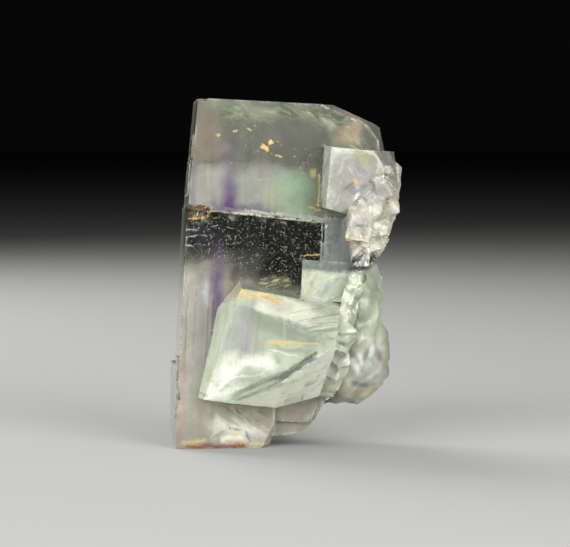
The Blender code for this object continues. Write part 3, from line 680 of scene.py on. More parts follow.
def lower_storey_finish():
    """The lower storey of the tall crystal: a clear band under the ledge painted dark, as the dark
    room seen through it, milky below it.
    """
    finish = Finish("lower_storey_fluorite", FLUORITE_IOR, 0.5, MILK, coat=0.1)
    finish.zones(depth=THROUGH, rows=[
        (SMOKY, 0.9, -6, 38, 30, 6, (2, 8)),
        (PEARL, 0.35, -16.2, 18, 1.6, 12, (3, 6)),
        (LILAC_GREY, 0.5, -13, 20, 2.6, 9, (3, 6)),
        (PURPLE, 0.9, -11.5, 25.4, 0.5, 5.6, (1.8, 5), 3, RAGGED),
        (BLUE_WHITE, 0.6, -13.4, 27, 0.4, 2.4, (1, 3.4), 0, RAGGED),
        (ROSE, 0.35, -17.6, 8, 0.8, 8, (1.2, 3), 0, RAGGED),
    ])
    finish.lay(SIDE_SMOKE, finish.behind(-1.0, 3.5))
    finish.zones([
        # the clear band painted dark, as the dark room seen through it, deeper to the right
        (PAINTED_SEE_THROUGH_DARK, 0.985, -4, 38.4, 18, 5.2, (2, 4.6)),
        (PAINTED_SEE_THROUGH_DARK, 0.5, -14, 33.4, 3, 0.8, (3, 4)),
        (PAINTED_SEE_THROUGH_DARK, 0.98, 6, 34, 12, 6, (9, 6)),
        (PAINTED_SEE_THROUGH_DARK, 0.9, 5.5, 30.4, 9, 3.4, (7, 3.6)),
        (PAINTED_SEE_THROUGH_DARK, 0.65, -7, 32.6, 2.4, 2, (4, 4.4)),
        (PAINTED_SEE_THROUGH_DARK, 0.5, -6.6, 30, 2.4, 0.6, (3, 2.8)),
        (DEEP_PURPLE, 0.5, -11, 31.6, 0.4, 3, (1.8, 4), 0, RAGGED),
        (DEEP_PURPLE, 0.12, -13, 36, 2, 1, 3),
    ])
    # the foot: feathery dark wisps over a white cloud, and rust along the bottom edge
    finish.zones([
        (WHITE, 0.35, -8.2, 2.8, 4.6, 0.8, (3, 2.6), -4),
        (SMOKY, 0.2, 3, 4.6, 4.4, 2.6, (1.6, 2.4)),
    ])
    feathers = finish.mask(-6.8, 6.2, 4, 1, (3, 2), -26)
    finish.wisps(feathers, [(SMOKY, 0.5, -22, 1.8, 0.7), (MOSS, 0.9, -30, 1.1, 0.65)])
    cloud = finish.mask(-7.4, 3.4, 4.6, 1.4, 2.4, -10)
    finish.wisps(cloud, [(WHITE, 0.4, -30, 1.8, 0.8), (GREY_GREEN, 0.5, -44, 1.6, 0.5)])
    finish.zones([
        (CREAM, 0.4, -1.8, 4.6, 3, 0.16, (1.2, 0.4), 88, RAGGED),
        # the stained dome in the cloud, and the rusty edge
        (WHITE, 0.7, -8.9, 1.6, 2, 0.6, (1, 0.8), 0, RAGGED),
        (YELLOW, 0.7, -8.4, 2.5, 0.8, 0.3, (1.2, 0.7), -14, RAGGED),
        (SMOKY, 0.7, -8.4, 3.3, 1.2, 0.04, (1.2, 0.3), -8, FRAYED),
        (SMOKY, 0.6, -11.2, 2.4, 1.3, 0.04, (0.9, 0.35), 34, FRAYED),
        (PURPLE, 0.7, -6.2, 2, 1, 0.1, (0.7, 0.4), -66, FRAYED),
        (ROSE, 0.6, -8.6, 1.2, 1.6, 0.3, (1.2, 0.6), 0, FRAYED),
        (YELLOW, 0.6, -15.6, 1.2, 2.2, 0.3, (1, 0.6), 6, FRAYED),
        (AMBER, 0.75, -9, 0.7, 2.8, 0.15, (1.4, 0.5), 3, FRAYED),
        (AMBER, 0.6, -14.4, 0.8, 1.8, 0.1, (1.4, 0.5), 3, FRAYED),
        (RUST, 0.95, -11.6, 0.3, 5.2, 0.25, (1.4, 0.6), 1, FRAYED),
        (PURPLE, 0.8, -13.2, 0.6, 1, 0.25, (0.8, 0.6), 0, FRAYED),
        (PURPLE, 0.7, -10, 0.4, 1.2, 0.2, (0.8, 0.5), 0, FRAYED),
        (YELLOW, 0.5, -4, 0.8, 1.8, 0.3, (0.8, 0.6), 0, RAGGED),
        # iron beside the growth plates
        (ORANGE, 0.8, 4.9, 33, 1.5, 0.12, (0.4, 0.2), 8, RAGGED),
        (ORANGE, 0.8, 6.3, 34.2, 1.1, 0.12, (0.4, 0.2), 88, RAGGED),
    ])
    # above the ledge's splintered edge the face takes the upper storey's colours
    finish.zones([
        (PEARL, 0.95, -1.6, 40.55, 12.0, 0.75, (0.8, 0.3), LEDGE_TILT, FRAYED),
        (PURPLE, 0.85, -9.6, 41.2, 2.4, 0.75, (1.6, 0.4), LEDGE_TILT, FRAYED),
        (GREY_GREEN, 0.85, 4.0, 39.7, 4.2, 0.9, (2.4, 0.4), LEDGE_TILT, FRAYED),
    ])
    # the stained nick at the left end of the ledge
    nick = finish.mask(-14.3, 40.7, 1.7, 1.2, (0.9, 0.5), 0, RAGGED)
    finish.lay(NICK_BROWN, nick, 0.95)
    finish.wisps(nick, [
        (RUST, 0.9, 20, 0.7, 0.6),
        (CREAM, 0.8, 70, 0.4, 0.45),
        (ORANGE, 0.9, 10, 0.5, 0.4),
    ])
    finish.zones([
        (ORANGE, 1, -15, 39.3, 1.4, 0.12, (0.5, 0.3), 2, FRAYED),
        (YELLOW, 0.9, -15, 41.9, 0.8, 0.14, (0.5, 0.3), 8, FRAYED),
        (ORANGE, 0.9, -12.8, 40.2, 0.8, 0.1, (0.5, 0.25), 50, FRAYED),
    ])
    # painted shade on the upward faces, such as the ledge's top
    finish.lay(DARK_SMOKY, finish.paint.rise(finish.upward, 0.7, 0.9), 0.8)
    # dust and scratches over the dark band
    band = finish.mask(-4.6, 35, 11.6, 5.4, (1.4, 3), 0, STRAIGHT)
    low_right = finish.mask(2.4, 31.6, 3.6, 4, (7, 5))
    finish.flecks(band, DUST_GREY, 1, 0.3, 0.85)
    finish.flecks(low_right, GREEN_DUST, 1, 0.28, 0.75)
    finish.flecks(band, BRIGHT_DUST, 1, 0.42, 0.3)
    marked = finish.mask(-10.4, 36.6, 4.4, 2.6, (2, 1.6))
    finish.spread(SCRATCHES, SCRATCH_SAND, marked, Spacing=1.5, Length=0.9, Width=0.08, Amount=0.45)
    finish.zones([
        (PEARL, 0.7, -16, 37.4, 1.2, 0.05, (0.8, 0.16), -6, RAGGED),
        (PEARL, 0.6, -16.2, 36.2, 1.4, 0.05, (0.8, 0.16), 8, RAGGED),
        (PEARL, 0.7, -16.6, 34.8, 1, 0.08, (0.6, 0.2), -4, RAGGED),
        # the white splintered edge of the ledge
        (PEARL_WHITE, 0.9, -5.4, 39.95, 3.6, 0.1, (1.2, 0.35), LEDGE_TILT, FRAYED),
        (PEARL_WHITE, 0.5, -11.0, 40.5, 1.4, 0.04, (0.8, 0.25), LEDGE_TILT, FRAYED),
        (PALE_GREEN, 0.8, 2.6, 39.0, 3.6, 0.02, (1.2, 0.2), LEDGE_TILT, RAGGED),
        (PEARL_WHITE, 0.7, 6.5, 37, 2.2, 0.03, (0.6, 0.2), 88, FRAYED),
    ])
    dusty = finish.mask(-1.6, 28.4, 2.4, 0.7, (2.4, 1.2), 0, RAGGED)
    finish.lay(SHADE_GREEN, dusty, 0.5)
    # yellow stain wisps, and dark wisps in the same painted darkness as the band
    finish.wisps(dusty, [(YELLOW, 0.9, 20, 0.35, 0.6), (PAINTED_SEE_THROUGH_DARK, 0.8, -40, 0.3, 0.5)])
    finish.zones([(CREAM, 0.7, -18.1, 20.9, 19, 0.08, (1, 0.3), 87.2, FRAYED)])
    edge = finish.mask(-17.4, 21, 1.6, 12, 1, 0, STRAIGHT)
    finish.spread(SCRATCHES, DARK_SMOKY, edge, Spacing=2.6, Length=1.4, Width=0.08, Amount=0.6)
    finish.cloud_over(2.6, 0.88, 1.14)
    finish.streak(88, 1.1, 14.0, 0.93, 1.07, finish.mask(0, 16, 40, 14, 4, 0, STRAIGHT))
    return finish.close(lines=0.010, rough=0.005, polish=0.05, worn=0.10, uneven=0.08)


def front_cube_finish():
    """The large cube in front: pale green on its left side, a milky heart with a painted glow, a
    grey band across its foot.
    """
    finish = Finish("front_cube_fluorite", FLUORITE_IOR, 0.5, HEART_GREEN, coat=0.2)
    finish.zones([
        (PALE_GREEN, 0.7, 3.4, 15.2, 6, 4, 3),
        (HEART_SHADE, 0.95, 0.6, 21.4, 6.4, 1.6, 3, -22),
        (HEART_SHADE, 0.5, -5, 23.4, 1.6, 1.8, (2, 2.4)),
        (VIOLET_GREY, 0.35, -8.4, 20.6, 1.4, 3.6, (2.6, 3.6), -6),
        # the milky heart, its glow painted
        (PAINTED_GLOW, 0.95, -8.8, 14, 2.6, 1.8, (4, 3.2), 10),
        (PAINTED_GLOW, 1, -3.2, 15, 1.9, 1.4, (2.8, 2.4), 12),
        (PAINTED_GLOW, 0.95, -10.6, 11, 3.6, 1.6, (2.4, 1.8), 12),
        (PAINTED_GLOW, 0.95, -5.4, 14.6, 2.2, 1.4, 1.6, 6, RAGGED),
        (VIOLET_GREY, 0.9, -6.4, 17.4, 1.2, 0.3, (2.2, 1.6), 72),
        (VIOLET_GREY, 0.5, -6.6, 21.2, 2.8, 0.5, (2.6, 1.8), 80),
        (HEART_SHADE, 0.6, -0.9, 15.8, 1, 0.2, (1.2, 0.8), -64),
        (PALE_GREEN, 0.5, 0.2, 15.4, 0.5, 1.6, 1, 0, RAGGED),
    ])
    rise = finish.paint.rise
    # the faces turned to the left laid pale green
    finish.lay(RIND_GREEN, rise(finish.leftward, 0.35, 0.6), 0.85)
    wispy = finish.mask(-7.2, 12.4, 4.2, 0.9, (2.4, 1.2), 18)
    finish.wisps(wispy, [(HEART_SHADE, 0.6, 14, 1.6, 0.85)])
    # the striped corner at the lower left, its faces slanting down painted light
    times = finish.paint.times
    bevel = times(rise(finish.upward, -0.26, -0.36), rise(finish.upward, -0.62, -0.54))
    bevel = times(bevel, finish.mask(2, 14, 11, 20, 2.4, 0, RAGGED))
    finish.lay(PAINTED_LIGHT_GREEN, bevel, 0.6)
    # the mottled facet under the band, facing down, painted light
    finish.lay(PAINTED_LIGHT_GREEN, rise(finish.upward, -0.54, -0.62), 0.95)
    low_right = finish.mask(2, 11.2, 6.4, 2.8, (2, 1.4), 26)
    finish.wisps(low_right, [
        (PALE_GREEN, 0.5, 24, 2, 0.75),
        (WHITE, 0.8, 34, 1.4, 0.75),
        (HEART_SHADE, 0.6, 48, 0.9, 0.45),
    ])
    # the faces turned to the right painted light, against the shade beside the quartz
    finish.lay(PAINTED_LIGHT_GREEN, rise(finish.leftward, -0.6, -0.8), 0.9)
    # the dark broken band, painted shade of an inner reflection
    finish.zones([
        (HEART_SHADE, 0.65, -4.6, 10.8, 4.2, 0.9, (2, 0.7), 21, RAGGED),
        (BLUE_GREY, 0.7, -3, 12.4, 3.6, 0.1, (1.6, 0.6), 24, RAGGED),
        (BLUE_GREY, 0.9, 2.2, 14.7, 3.4, 0.6, (1.2, 0.5), 34, RAGGED),
        (SHADE_GREEN, 0.8, -0.4, 12.9, 1.4, 0.5, (1.2, 0.6), 30, RAGGED),
        (SMOKY, 0.85, 1.2, 13.8, 2.2, 0.3, (1.2, 0.4), 34, FRAYED),
        (DARK_SMOKY, 0.85, 4, 16.3, 1.8, 0.1, (1, 0.35), 34, FRAYED),
        (DARK_SMOKY, 0.7, -1.2, 12.9, 1.4, 0.1, (1, 0.35), 24, FRAYED),
        (CREAM, 0.6, 3.2, 14.3, 2, 0.06, (0.8, 0.25), 34, FRAYED),
    ])
    finish.zones([
        # iron line, lens under it and the crack above, with a painted glow along it
        (SHADE_CREAM, 0.9, 1.9, 17.5, 3.2, 0.3, (2.2, 0.7), -5),
        (PAINTED_GLOW, 0.6, 0, 17, 2.6, 0.05, (1.2, 0.25), -14, RAGGED),
        (IRON_CREAM, 0.8, 1.4, 18.8, 4.6, 0.1, (1.4, 0.3), 0, RAGGED),
        (IRON_CREAM, 0.9, -0.4, 18.9, 2, 0.3, (2.2, 0.4), 0, FRAYED),
        (YELLOW, 0.6, -0.8, 18.7, 2.8, 0.1, (2, 0.3), 0, RAGGED),
        (CREAM, 0.3, 0.06, 20.9, 0.06, 1.8, (0.3, 1), 0, STRAIGHT),
        # the roof facet and the stained upper edge
        (ROOF_CREAM, 0.75, 2.6, 23.6, 7.4, 1.6, (1.6, 0.8), -18, RAGGED),
        (ROOF_PINK, 0.6, -1.4, 25.2, 2.8, 0.9, (2, 1), -16),
        (YELLOW, 0.7, 5, 22.4, 0.9, 0.16, (0.8, 0.3), 6, FRAYED),
        (YELLOW, 0.35, -7.2, 26.6, 2.4, 0.6, (1.8, 1), -8, RAGGED),
        (FLAKE_GOLD, 0.8, -7.6, 27.2, 1.6, 0.12, (1.2, 0.4), -6, FRAYED),
        (FLAKE_GOLD, 0.8, -3, 26.6, 1.4, 0.12, (1.2, 0.4), -14, FRAYED),
        (DARK_SMOKY, 0.8, 3.2, 25.7, 0.3, 0.16, (0.3, 0.2), -40, FRAYED),
        # the low left corner
        (YELLOW, 0.7, -12.5, 12.1, 0.4, 0.3, (1, 0.8), 0, RAGGED),
        (RUST, 0.6, -13.8, 9.6, 0.8, 0.2, (0.6, 0.3), -12, FRAYED),
    ])
    roof = finish.mask(7, 22, 2.4, 2.4, (2.6, 1), -12, RAGGED)
    finish.lay(HEART_GREEN, roof, 0.8)
    finish.streak(4.0, 0.36, 7.0, 0.4, 1.3, roof)
    finish.wisps(roof, [(HEART_SHADE, 0.8, 5, 0.5, 0.45)])
    stained = finish.mask(-4.6, 26.6, 4.4, 0.7, (1.6, 1), -12, RAGGED)
    finish.wisps(stained, [(SAND, 0.7, -24, 1, 0.6), (FLAKE_GOLD, 1, -14, 0.5, 0.7)])
    finish.flecks(stained, FLAKE_GOLD, 1, 0.5, 0.7)
    top = rise(finish.upward, 0.85, 0.95)
    finish.lay(SHADE_GREEN, top, 0.85)
    finish.spread(FLECKS, YELLOW, top, 0.9, Spacing=0.6, Amount=0.6)
    finish.streak(28.2, 0.46, 6.0, 0.5, 1.4, finish.mask(-4.6, 11, 4.6, 1.2, 0.8, 21, STRAIGHT))
    finish.streak(84, 0.7, 9.0, 0.9, 1.1, finish.mask(-8, 20, 5, 7, 3))
    finish.cloud_over(2.2, 0.9, 1.1)
    return finish.close(lines=0.02, rough=0.005, polish=0.10, worn=0.03, uneven=0.16)


def upper_cube_finish():
    """The cube at the upper right, pale and slightly violet, with a dull left side."""
    finish = Finish("upper_cube_fluorite", FLUORITE_IOR, 0.5, CUBE_GREY)
    finish.zones([
        (PEARL_WHITE, 0.55, 8.6, 50.6, 0.8, 0.6, (4.6, 3.6)),
        (LILAC_GREY, 0.6, 12.6, 45.8, 1.6, 1.2, (2.6, 2.2)),
        (PURPLE, 0.5, 12, 44.2, 1.2, 0.6, (1.2, 1), -34, RAGGED),
        (PEARL_WHITE, 0.45, 7.2, 46.4, 0.8, 6, (0.8, 1.2)),
    ])
    fan = finish.mask(12.4, 45.4, 2.4, 1.8, (1.8, 1.6))
    finish.wisps(fan, [(SHADE_GREEN, 0.7, 40, 0.9, 0.5), (WHITE, 0.6, -50, 0.7, 0.4)])
    finish.zones([
        (DARK_SMOKY, 0.75, 10.9, 45, 1.4, 0.05, (1, 0.3), 34, FRAYED),
        (DARK_SMOKY, 0.7, 11.6, 43.6, 1.2, 0.08, (1, 0.4), -34, FRAYED),
        (DARK_SMOKY, 0.6, 13.4, 44.8, 0.9, 0.2, (0.8, 0.5), 20, FRAYED),
        # a painted glint among the dark cracks
        (PAINTED_GLOW, 0.7, 12.2, 43, 0.8, 0.16, (0.8, 0.4), 60, FRAYED),
    ])
    finish.wisps(None, [(LILAC_GREY, 0.35, 74, 1.2, 0.5), (PEARL_WHITE, 0.25, 50, 1, 0.45)])
    finish.zones([(LEMON_GREY, 0.85, 12.9, 49.6, 1.8, 0.8, (2.6, 2), -38)])
    low_left = finish.mask(9, 42.6, 2.4, 0.8, 1.6)
    finish.wisps(low_left, [(PEARL_WHITE, 0.6, 60, 0.8, 0.6), (SHADE_GREEN, 0.7, 30, 0.9, 0.6)])
    side = finish.mask(6.1, 46, 0.5, 6.4, (0.8, 1), 2, STRAIGHT)
    finish.wisps(side, [(DARK_SMOKY, 0.7, 85, 0.6, 0.6), (BLUE_WHITE, 0.8, 80, 0.5, 0.6)])
    finish.zones([
        (ORANGE, 1, 12.1, 45.7, 0.36, 0.4, (0.4, 0.35), 20, FRAYED),
        (ORANGE, 0.85, 6.2, 41.2, 1.3, 0.2, 0.3, -14, FRAYED),
        (YELLOW, 0.8, 15.9, 47.8, 0.16, 0.8, (0.3, 0.4), -20, FRAYED),
    ])
    finish.cloud_over(1.6, 0.88, 1.12)
    return finish.close(lines=0.004, rough=0.006, polish=0.09)


def plate_finish():
    """The thin growth plates below the upper cube, blue-grey above and cream below."""
    finish = Finish("plate_fluorite", FLUORITE_IOR, 0.5, BLUE_GREY)
    finish.zones([
        (LILAC_GREY, 0.35, 8.8, 35, 1.6, 3.6, (1.4, 2)),
        (PLATE_CREAM, 0.95, 6, 27.6, 7, 2.8, 1, -3, RAGGED),
    ])
    finish.wisps(None, [(DARK_SMOKY, 0.45, 70, 1.2, 0.5), (BLUE_WHITE, 0.3, 30, 0.8, 0.4)])
    lower = finish.mask(7, 27.2, 5.4, 2.6, (1, 0.8), 0, RAGGED)
    finish.wisps(lower, [(WHITE, 0.35, 30, 1.1, 0.55)])
    finish.zones([
        (ICE_BLUE, 0.8, 7, 27.2, 1.6, 0.3, (0.9, 0.8), 60, RAGGED),
        (ICE_BLUE, 0.5, 8.6, 28.4, 1.4, 0.15, (0.9, 0.4), 50, RAGGED),
        (SMOKY, 0.6, 8, 25.4, 1.6, 0.1, (0.8, 0.25), 24, FRAYED),
        (YELLOW, 0.6, 10.8, 26.2, 0.5, 0.8, 1, 0, RAGGED),
        (SMOKY, 0.6, 6.6, 30.6, 3.8, 0.08, (1, 0.25), -8, FRAYED),
        (YELLOW, 0.5, 3.5, 27.4, 0.2, 3, (0.4, 0.8), 4, FRAYED),
    ])
    finish.cloud_over(1.5, 0.85, 1.15)
    finish.streak(80, 0.5, 6.0, 0.92, 1.08)
    return finish.close(lines=0.02, rough=0.008, polish=0.08, worn=0.08)


def back_cube_finish():
    """The stepped cubes at the back: smoky green, with violet bands level with their faces."""
    finish = Finish("back_cube_fluorite", FLUORITE_IOR, 0.5, BACK_GREEN, coat=0.2)
    paint = finish.paint
    cloudy = finish.place[CLOUDED]
    level = paint.stretched(cloudy, (0.07, 0.07, 0.30))
    for colour, strength, place, size, detail, start, end in (
        (VIOLET_SMOKE, 0.75, level, 1, 4, 0.50, 0.68),
        (CLEAR_GREEN, 0.5, cloudy, 11, 2, 0.52, 0.66),
        (PEARL, 0.6, finish.place[WISPY], 8, 4, 0.52, 0.72),
        (ORANGE, 0.7, finish.place[FRAYED], 6, 4, 0.63, 0.68),
    ):
        finish.lay(colour, paint.rise(paint.noise(place, size, detail), start, end), strength)
    finish.lay(SIDE_SMOKE, finish.behind(10.0, 7.6))
    finish.lay(CREAM, paint.rise(finish.forward, 0.7, 0.9), 0.7)
    finish.cloud_over(2.6, 0.88, 1.14)
    return finish.close(lines=0.010, rough=0.005, polish=0.06, uneven=0.12)


def rear_finish():
    """The rounded crystal behind: smoky green above, lilac grey below, with painted highlights and
    a painted shadow low down.
    """
    finish = Finish("rear_fluorite", FLUORITE_IOR, 0.35, REAR_GREEN, coat=0.15)
    finish.zones(depth=THROUGH, rows=[
        (RIND_GREEN, 0.2, 16, 21.6, 1.4, 6, (2.6, 3)),
        (PEARL, 0.8, 13.6, 14, 4, 4, (2.4, 3)),
        (SAND, 0.6, 12.5, 8.4, 5, 1.2, (2, 1.4)),
        (MAUVE, 0.6, 18, 14, 0.7, 7, (1.8, 2), 0, RAGGED),
    ])
    finish.wisps(None, [(CREAM, 0.25, 50, 2.6, 0.6), (GREY_GREEN, 0.4, 120, 2.2, 0.55)])
    finish.zones(depth=THROUGH, rows=[
        (SHADE_GREEN, 0.75, 13.2, 21, 1, 0.8, (2, 1.8), 0, RAGGED),
        (CREAM, 0.6, 13.8, 18.6, 2, 0.3, (1.6, 0.9), -14, RAGGED),
        (SMOKY, 0.6, 15.4, 26, 0.8, 1.4, 1.8, 20, RAGGED),
        # a painted highlight
        (PAINTED_GLOW, 0.9, 12.2, 13.7, 1.6, 0.3, (1.2, 0.9), 116, RAGGED),
        (DARK_SMOKY, 0.6, 14.1, 15.4, 1.1, 0.2, (1.2, 0.8), 70, RAGGED),
        # a painted highlight
        (PAINTED_GLOW, 0.6, 15.2, 16.2, 1.2, 0.3, (1, 0.8), 76, RAGGED),
        (PURPLE, 0.75, 16.5, 15.2, 0.4, 1, (1, 1.2), 10, RAGGED),
        # a painted highlight
        (PAINTED_GLOW, 0.5, 15.4, 12, 1.2, 0.2, (1, 0.7), 30, RAGGED),
        # a painted shadow low down
        (DARK_SMOKY, 0.85, 13.2, 10.3, 1.6, 0.25, (1.6, 0.9), -14, RAGGED),
    ])
    finish.cloud_over(3.0, 0.85, 1.15)
    finish.absorb(REAR_DEPTH, 60.0)
    return finish.close(lines=0.0, rough=0.003, polish=0.26)


def clear_quartz_finish():
    """Clear broken quartz with milky and violet patches and iron in its cracks."""
    finish = Finish("clear_quartz", QUARTZ_IOR, 0.55, CLEAR_CREAM, coat=0.1)
    finish.zones(depth=THROUGH, rows=[
        (LILAC_GREY, 0.7, 14.6, 45, 2.8, 3.2, 2.4),
        (CREAM, 0.6, 17.4, 49, 1, 3, (2, 2.4)),
        (LIME, 0.35, 16.6, 39.6, 0.8, 2.2, 1.8),
        (WHITE, 0.6, 15, 36.6, 1, 2.4, (1.4, 1.8), -20, RAGGED),
        (PEARL, 0.7, 12.4, 38.6, 1.8, 2, 1, 0, RAGGED),
    ])
    finish.wisps(None, [(WHITE, 0.5, 50, 1.4, 0.5), (SMOKY, 0.4, -40, 1.2, 0.45)])
    # fine fracture lines, painted white as glints
    finish.spread(SCRATCHES, WHITE, None, 0.7, Spacing=1.7, Length=1.1, Width=0.07, Amount=0.5)
    # the splintered foot: painted highlights on the facets turned to the light, painted shade on
    # the others
    splintered = finish.mask(12.8, 31.8, 3.2, 1.4, (1.6, 2.4), 24, RAGGED, depth=THROUGH)
    finish.lay(SHADE_GREEN, splintered, 0.8)
    paint = finish.paint
    shown = paint.plus(finish.upward, finish.leftward)
    finish.lay(PAINTED_SEE_THROUGH_DARK, paint.times(splintered, paint.rise(shown, 0.1, -0.2)), 0.9)
    finish.lay(PAINTED_GLOW, paint.times(splintered, paint.rise(shown, 0.35, 0.6)), 0.9)
    # a painted glint, and the foot's end painted dark as the dark room seen through it
    finish.zones(depth=THROUGH, rows=[
        (PAINTED_GLOW, 0.9, 15, 34.2, 1.2, 0.7, (1, 0.8), 40, FRAYED),
        (PAINTED_SEE_THROUGH_DARK, 0.95, 12.2, 30.9, 1.6, 0.5, (0.9, 0.8), 10, FRAYED),
    ])
    finish.zones([
        (AMBER, 0.9, 17.2, 42, 0.4, 0.2, (0.5, 0.4), 0, FRAYED),
        (ORANGE, 0.9, 11, 35.2, 1.4, 0.2, (0.5, 0.35), 84, FRAYED),
        (AMBER, 0.7, 12.4, 36.4, 1.2, 0.1, (0.6, 0.3), -6, FRAYED),
        (ORANGE, 0.7, 12.2, 34.6, 0.6, 0.16, (0.6, 0.3), 50, FRAYED),
        (YELLOW, 0.7, 16, 47.8, 0.7, 0.12, (0.4, 0.3), 60, FRAYED),
        (AMBER, 0.6, 12.6, 40.9, 1.8, 0.05, (0.6, 0.2), -4, RAGGED),
        (YELLOW, 0.4, 10.6, 40, 0.3, 0.8, (0.6, 0.8), 0, FRAYED),
    ])
    return finish.close(lines=0.0, rough=0.006, polish=0.16)


def milky_quartz_finish():
    """The cream ragged quartz of the seam between the front cube and the crystal behind."""
    finish = Finish("milky_quartz", QUARTZ_IOR, 0.35, SEAM_GREEN, coat=0.2)
    finish.wisps(None, [
        (CREAM, 0.45, 70, 1.2, 0.62),
        (SMOKY, 0.6, 74, 0.9, 0.45),
        (WHITE, 0.6, 66, 0.6, 0.35),
    ])
    finish.zones([
        (LILAC_GREY, 0.7, 8.4, 14, 0.8, 2.6, (0.9, 1.4), -14, RAGGED),
        (YELLOW, 0.6, 10.8, 24.4, 0.3, 0.8, (0.6, 0.8), 0, RAGGED),
    ])
    return finish.close(lines=0.0, rough=0.012, polish=0.22)


# ---------------------------------------------------------------- the pieces

UPPER_STOREY, LOWER_STOREY, FRONT_CUBE, UPPER_CUBE, PLATES, BACK_CUBES = range(6)

# Where the crystals meet, in the object's frame
BACK_STARTS = 5.0
LIP_FOOT = 36.5
UPPER_CUBE_LEFT = 6.5
UPPER_CUBE_FOOT = 39.0
SEAM_TOP = 29.8
FACETED_TOP = 38.0

# The same in the storeys' own axes: the faces, and the strips raised down the left edge
FACE_LEVEL = -0.2
STOREY_FOOT = 1.06
PLATES_LEFT = 19.9
STRIP_RIGHT = 5.3
STRIP_FOOT = 9.0
STRIP_HEAD = 28.6

# The broken facets of the quartz: how many, and how steep they lie
FACETS = 1000
STEEP = 0.32
SHALLOW = 0.08


def crystal_at(point):
    """Which of the intergrown crystals a spot on the fluorite belongs to."""
    if point.y > BACK_STARTS:
        return BACK_CUBES
    _, back, up = INTO_UPPER @ point
    if up > STOREY_FOOT and back > FACE_LEVEL:
        return UPPER_STOREY
    across, back, up = INTO_LOWER @ point
    on_lip = point.z > LIP_FOOT and point.x < UPPER_CUBE_LEFT
    on_strips = across < STRIP_RIGHT + 0.1 and back > -0.75
    if on_lip or on_strips or back > FACE_LEVEL:
        return LOWER_STOREY
    if point.z > UPPER_CUBE_FOOT and point.x > UPPER_CUBE_LEFT:
        return UPPER_CUBE
    front_cube_top = 28.3 - 0.211 * (point.x + 7.6)
    if across > PLATES_LEFT and point.z > front_cube_top - 0.3:
        return PLATES
    return FRONT_CUBE


def press_strips(bm, distances):
    """Lets the raised strips down the left edge run out flush with the face at both their ends."""
    for vertex in bm.verts:
        across, back, up = INTO_LOWER @ vertex.co
        if -0.8 < back < 0.0 and 0.5 < across < STRIP_RIGHT and up < STRIP_HEAD + 4:
            kept = min(1.0, (up - STRIP_FOOT) / 10.0, (STRIP_HEAD - up) / 5.0)
            kept = max(0.02, kept)
            vertex.co = LOWER @ Vector((across, back * kept, up))
            if kept < 0.5:
                distances[vertex.index] = 1.0


def fluorite_group():
    """The intergrown fluorites as one surface, with worn edges and a finish for each crystal."""
    bm = sliced_copy("fluorite_cubes", FINE)
    distances = edge_distances(bm)
    wear_edges(bm, distances, reach=0.5, rounding=0.04, chipping=0.16)
    wave_faces(bm, distances, height=0.05, length=5.0)
    for face in bm.faces:
        face.material_index = crystal_at(face.calc_center_median())
    press_strips(bm, distances)
    finishes = [
        upper_storey_finish(), lower_storey_finish(), front_cube_finish(), upper_cube_finish(),
        plate_finish(), back_cube_finish(),
    ]
    piece = store("fluorite_crystals", bm, finishes, crease=18)
    mark(piece, "edge_wear", [max(0.0, 1.0 - distance / 0.6) for distance in distances])
    return piece


def rear_crystal():
    """The rounded crystal behind, with its edges melted soft and its faces wavy."""
    bm = sliced_copy("rear_fluorite_crystal", 0.6)
    soften(bm, bm.verts, 8)
    for vertex in bm.verts:
        swell = noise.noise(vertex.co / 2.8) + 0.4 * noise.noise(vertex.co / 1.3) - 0.35
        vertex.co += vertex.normal * 0.6 * swell
    piece = store("wavy_rear_crystal", bm, [rear_finish()], crease=40)
    mark(piece, "edge_wear", [0.0] * len(piece.data.vertices))
    return piece


def quartz_crust():
    """The quartz as a broken crust: glassy and rounded above, sharp facets in its lower half."""
    rng = random.Random(WEAR_SEED)
    bm = sliced_copy("quartz_matrix", 0.55)
    distances = edge_distances(bm)
    bm.verts.ensure_lookup_table()
    zones = ((FACETED_TOP, math.inf, 9), (-math.inf, SEAM_TOP, 4), (SEAM_TOP, FACETED_TOP, 3))
    for foot, top, times in zones:
        soften(bm, [v for v in bm.verts if foot < v.co.z < top and v.co.y < BACK_STARTS], times)
    spots = []
    for index in rng.sample(range(len(bm.verts)), FACETS):
        if bm.verts[index].co.z < FACETED_TOP or rng.random() < 0.3:
            spots.append(bm.verts[index].co.copy())
    tree = KDTree(len(spots))
    tilts = []
    for number, spot in enumerate(spots):
        tree.insert(spot, number)
        slope = STEEP if SEAM_TOP < spot.z < FACETED_TOP else SHALLOW
        tilts.append(Vector((rng.gauss(0, 1), rng.gauss(0, 1), rng.gauss(0, 1))) * slope)
    tree.balance()
    moves = []
    for vertex in bm.verts:
        spot, number, _ = tree.find(vertex.co)
        sunk = (vertex.co - spot).dot(tilts[number]) - 0.10
        moves.append((vertex, vertex.normal * max(-0.5, min(0.0, sunk))))
    for vertex, move in moves:
        vertex.co += move
        # the crust is broken off along a slope at its lower right
        if vertex.co.z > SEAM_TOP - 3.0 and vertex.co.y < BACK_STARTS:
            vertex.co.x = min(vertex.co.x, max(13.4, 14.8 + 0.9 * (vertex.co.z - 30.8)))
    close_gaps(bm, solid_surface("fluorite_cubes"), reach=1.0, overlap=0.15)
    close_gaps(bm, solid_surface("rear_fluorite_crystal"), reach=0.5, overlap=0.3)
    for face in bm.faces:
        face.material_index = int(face.calc_center_median().z < SEAM_TOP)
    piece = store("broken_quartz", bm, [clear_quartz_finish(), milky_quartz_finish()], crease=28)
    mark(piece, "edge_wear", [max(0.0, 1.0 - distance / 0.4) for distance in distances])
    return piece


# ---------------------------------------------------------------- floor, light and camera


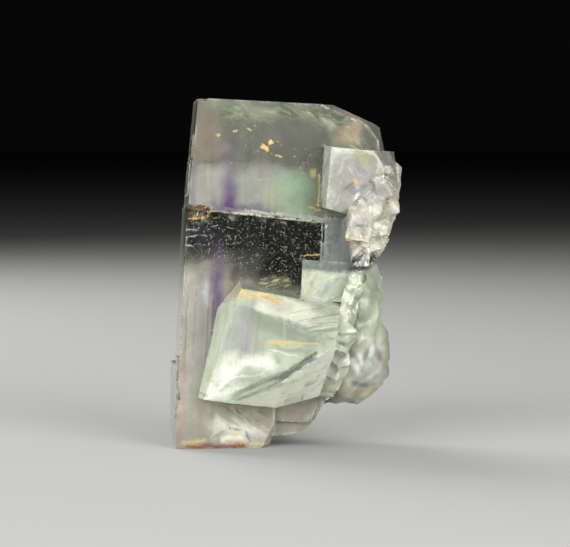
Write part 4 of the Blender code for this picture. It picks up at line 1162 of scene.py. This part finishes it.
def plain_floor():
    """A plain pale table top."""
    bm = bmesh.new()
    bmesh.ops.create_grid(bm, x_segments=1, y_segments=1, size=8.0)
    floor = bpy.data.meshes.new("floor")
    bm.to_mesh(floor)
    bm.free()
    placed = bpy.data.objects.new("floor", floor)
    bpy.context.scene.collection.objects.link(placed)
    material = bpy.data.materials.new("pale_floor")
    material.use_nodes = True
    shader = material.node_tree.nodes["Principled BSDF"]
    shader.inputs["Base Color"].default_value = (0.34, 0.34, 0.33, 1)
    shader.inputs["Roughness"].default_value = 0.8
    shader.inputs["Specular IOR Level"].default_value = 0.0
    floor.materials.append(material)


def soft_box(name, place, aim, size, power):
    """A square soft light at a place, turned to what it lights."""
    light = bpy.data.lights.new(name, "AREA")
    light.shape = "SQUARE"
    light.size = size
    light.energy = power
    placed = bpy.data.objects.new(name, light)
    placed.location = place
    placed.rotation_euler = (Vector(aim) - Vector(place)).to_track_quat("-Z", "Y").to_euler()
    bpy.context.scene.collection.objects.link(placed)


def studio():
    """Soft light from the upper left, the right, above and behind, in a plain dark room."""
    heart = (0, 0, 0.03)
    soft_box("key", (-0.34, -0.50, 0.24), heart, 0.55, 6.4)
    soft_box("fill", (0.38, -0.52, 0.22), heart, 0.42, 6.1)
    soft_box("top", (0.02, 0.05, 0.5), heart, 0.50, 1.2)
    soft_box("behind", (-0.30, 0.38, 0.42), heart, 0.36, 3.4)
    room = bpy.data.worlds.new("room")
    room.use_nodes = True
    room.node_tree.nodes["Background"].inputs[0].default_value = (0.002, 0.002, 0.0022, 1)
    bpy.context.scene.world = room


def camera():
    """A long lens a little above the level, straight at the front."""
    aim = Vector((0.000135, -0.01137, 0.030005))
    distance = 0.45
    above = math.radians(3)
    lens = bpy.data.cameras.new("camera")
    lens.lens = 167
    lens.sensor_width = 36
    lens.clip_start = 0.01
    placed = bpy.data.objects.new("camera", lens)
    placed.location = aim + Vector((0, -math.cos(above), math.sin(above))) * distance
    placed.rotation_euler = (math.radians(90) - above, 0, 0)
    bpy.context.scene.collection.objects.link(placed)
    bpy.context.scene.camera = placed


camera()
studio()
plain_floor()

fluorite = fluorite_group()
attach(fluorite, "root")
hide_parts("fluorite_cubes")

rear = rear_crystal()
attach(rear, "root")
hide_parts("rear_fluorite_crystal")

quartz = quartz_crust()
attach(quartz, "root")
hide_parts("quartz_matrix")

bpy.context.scene.view_settings.view_transform = "Standard"
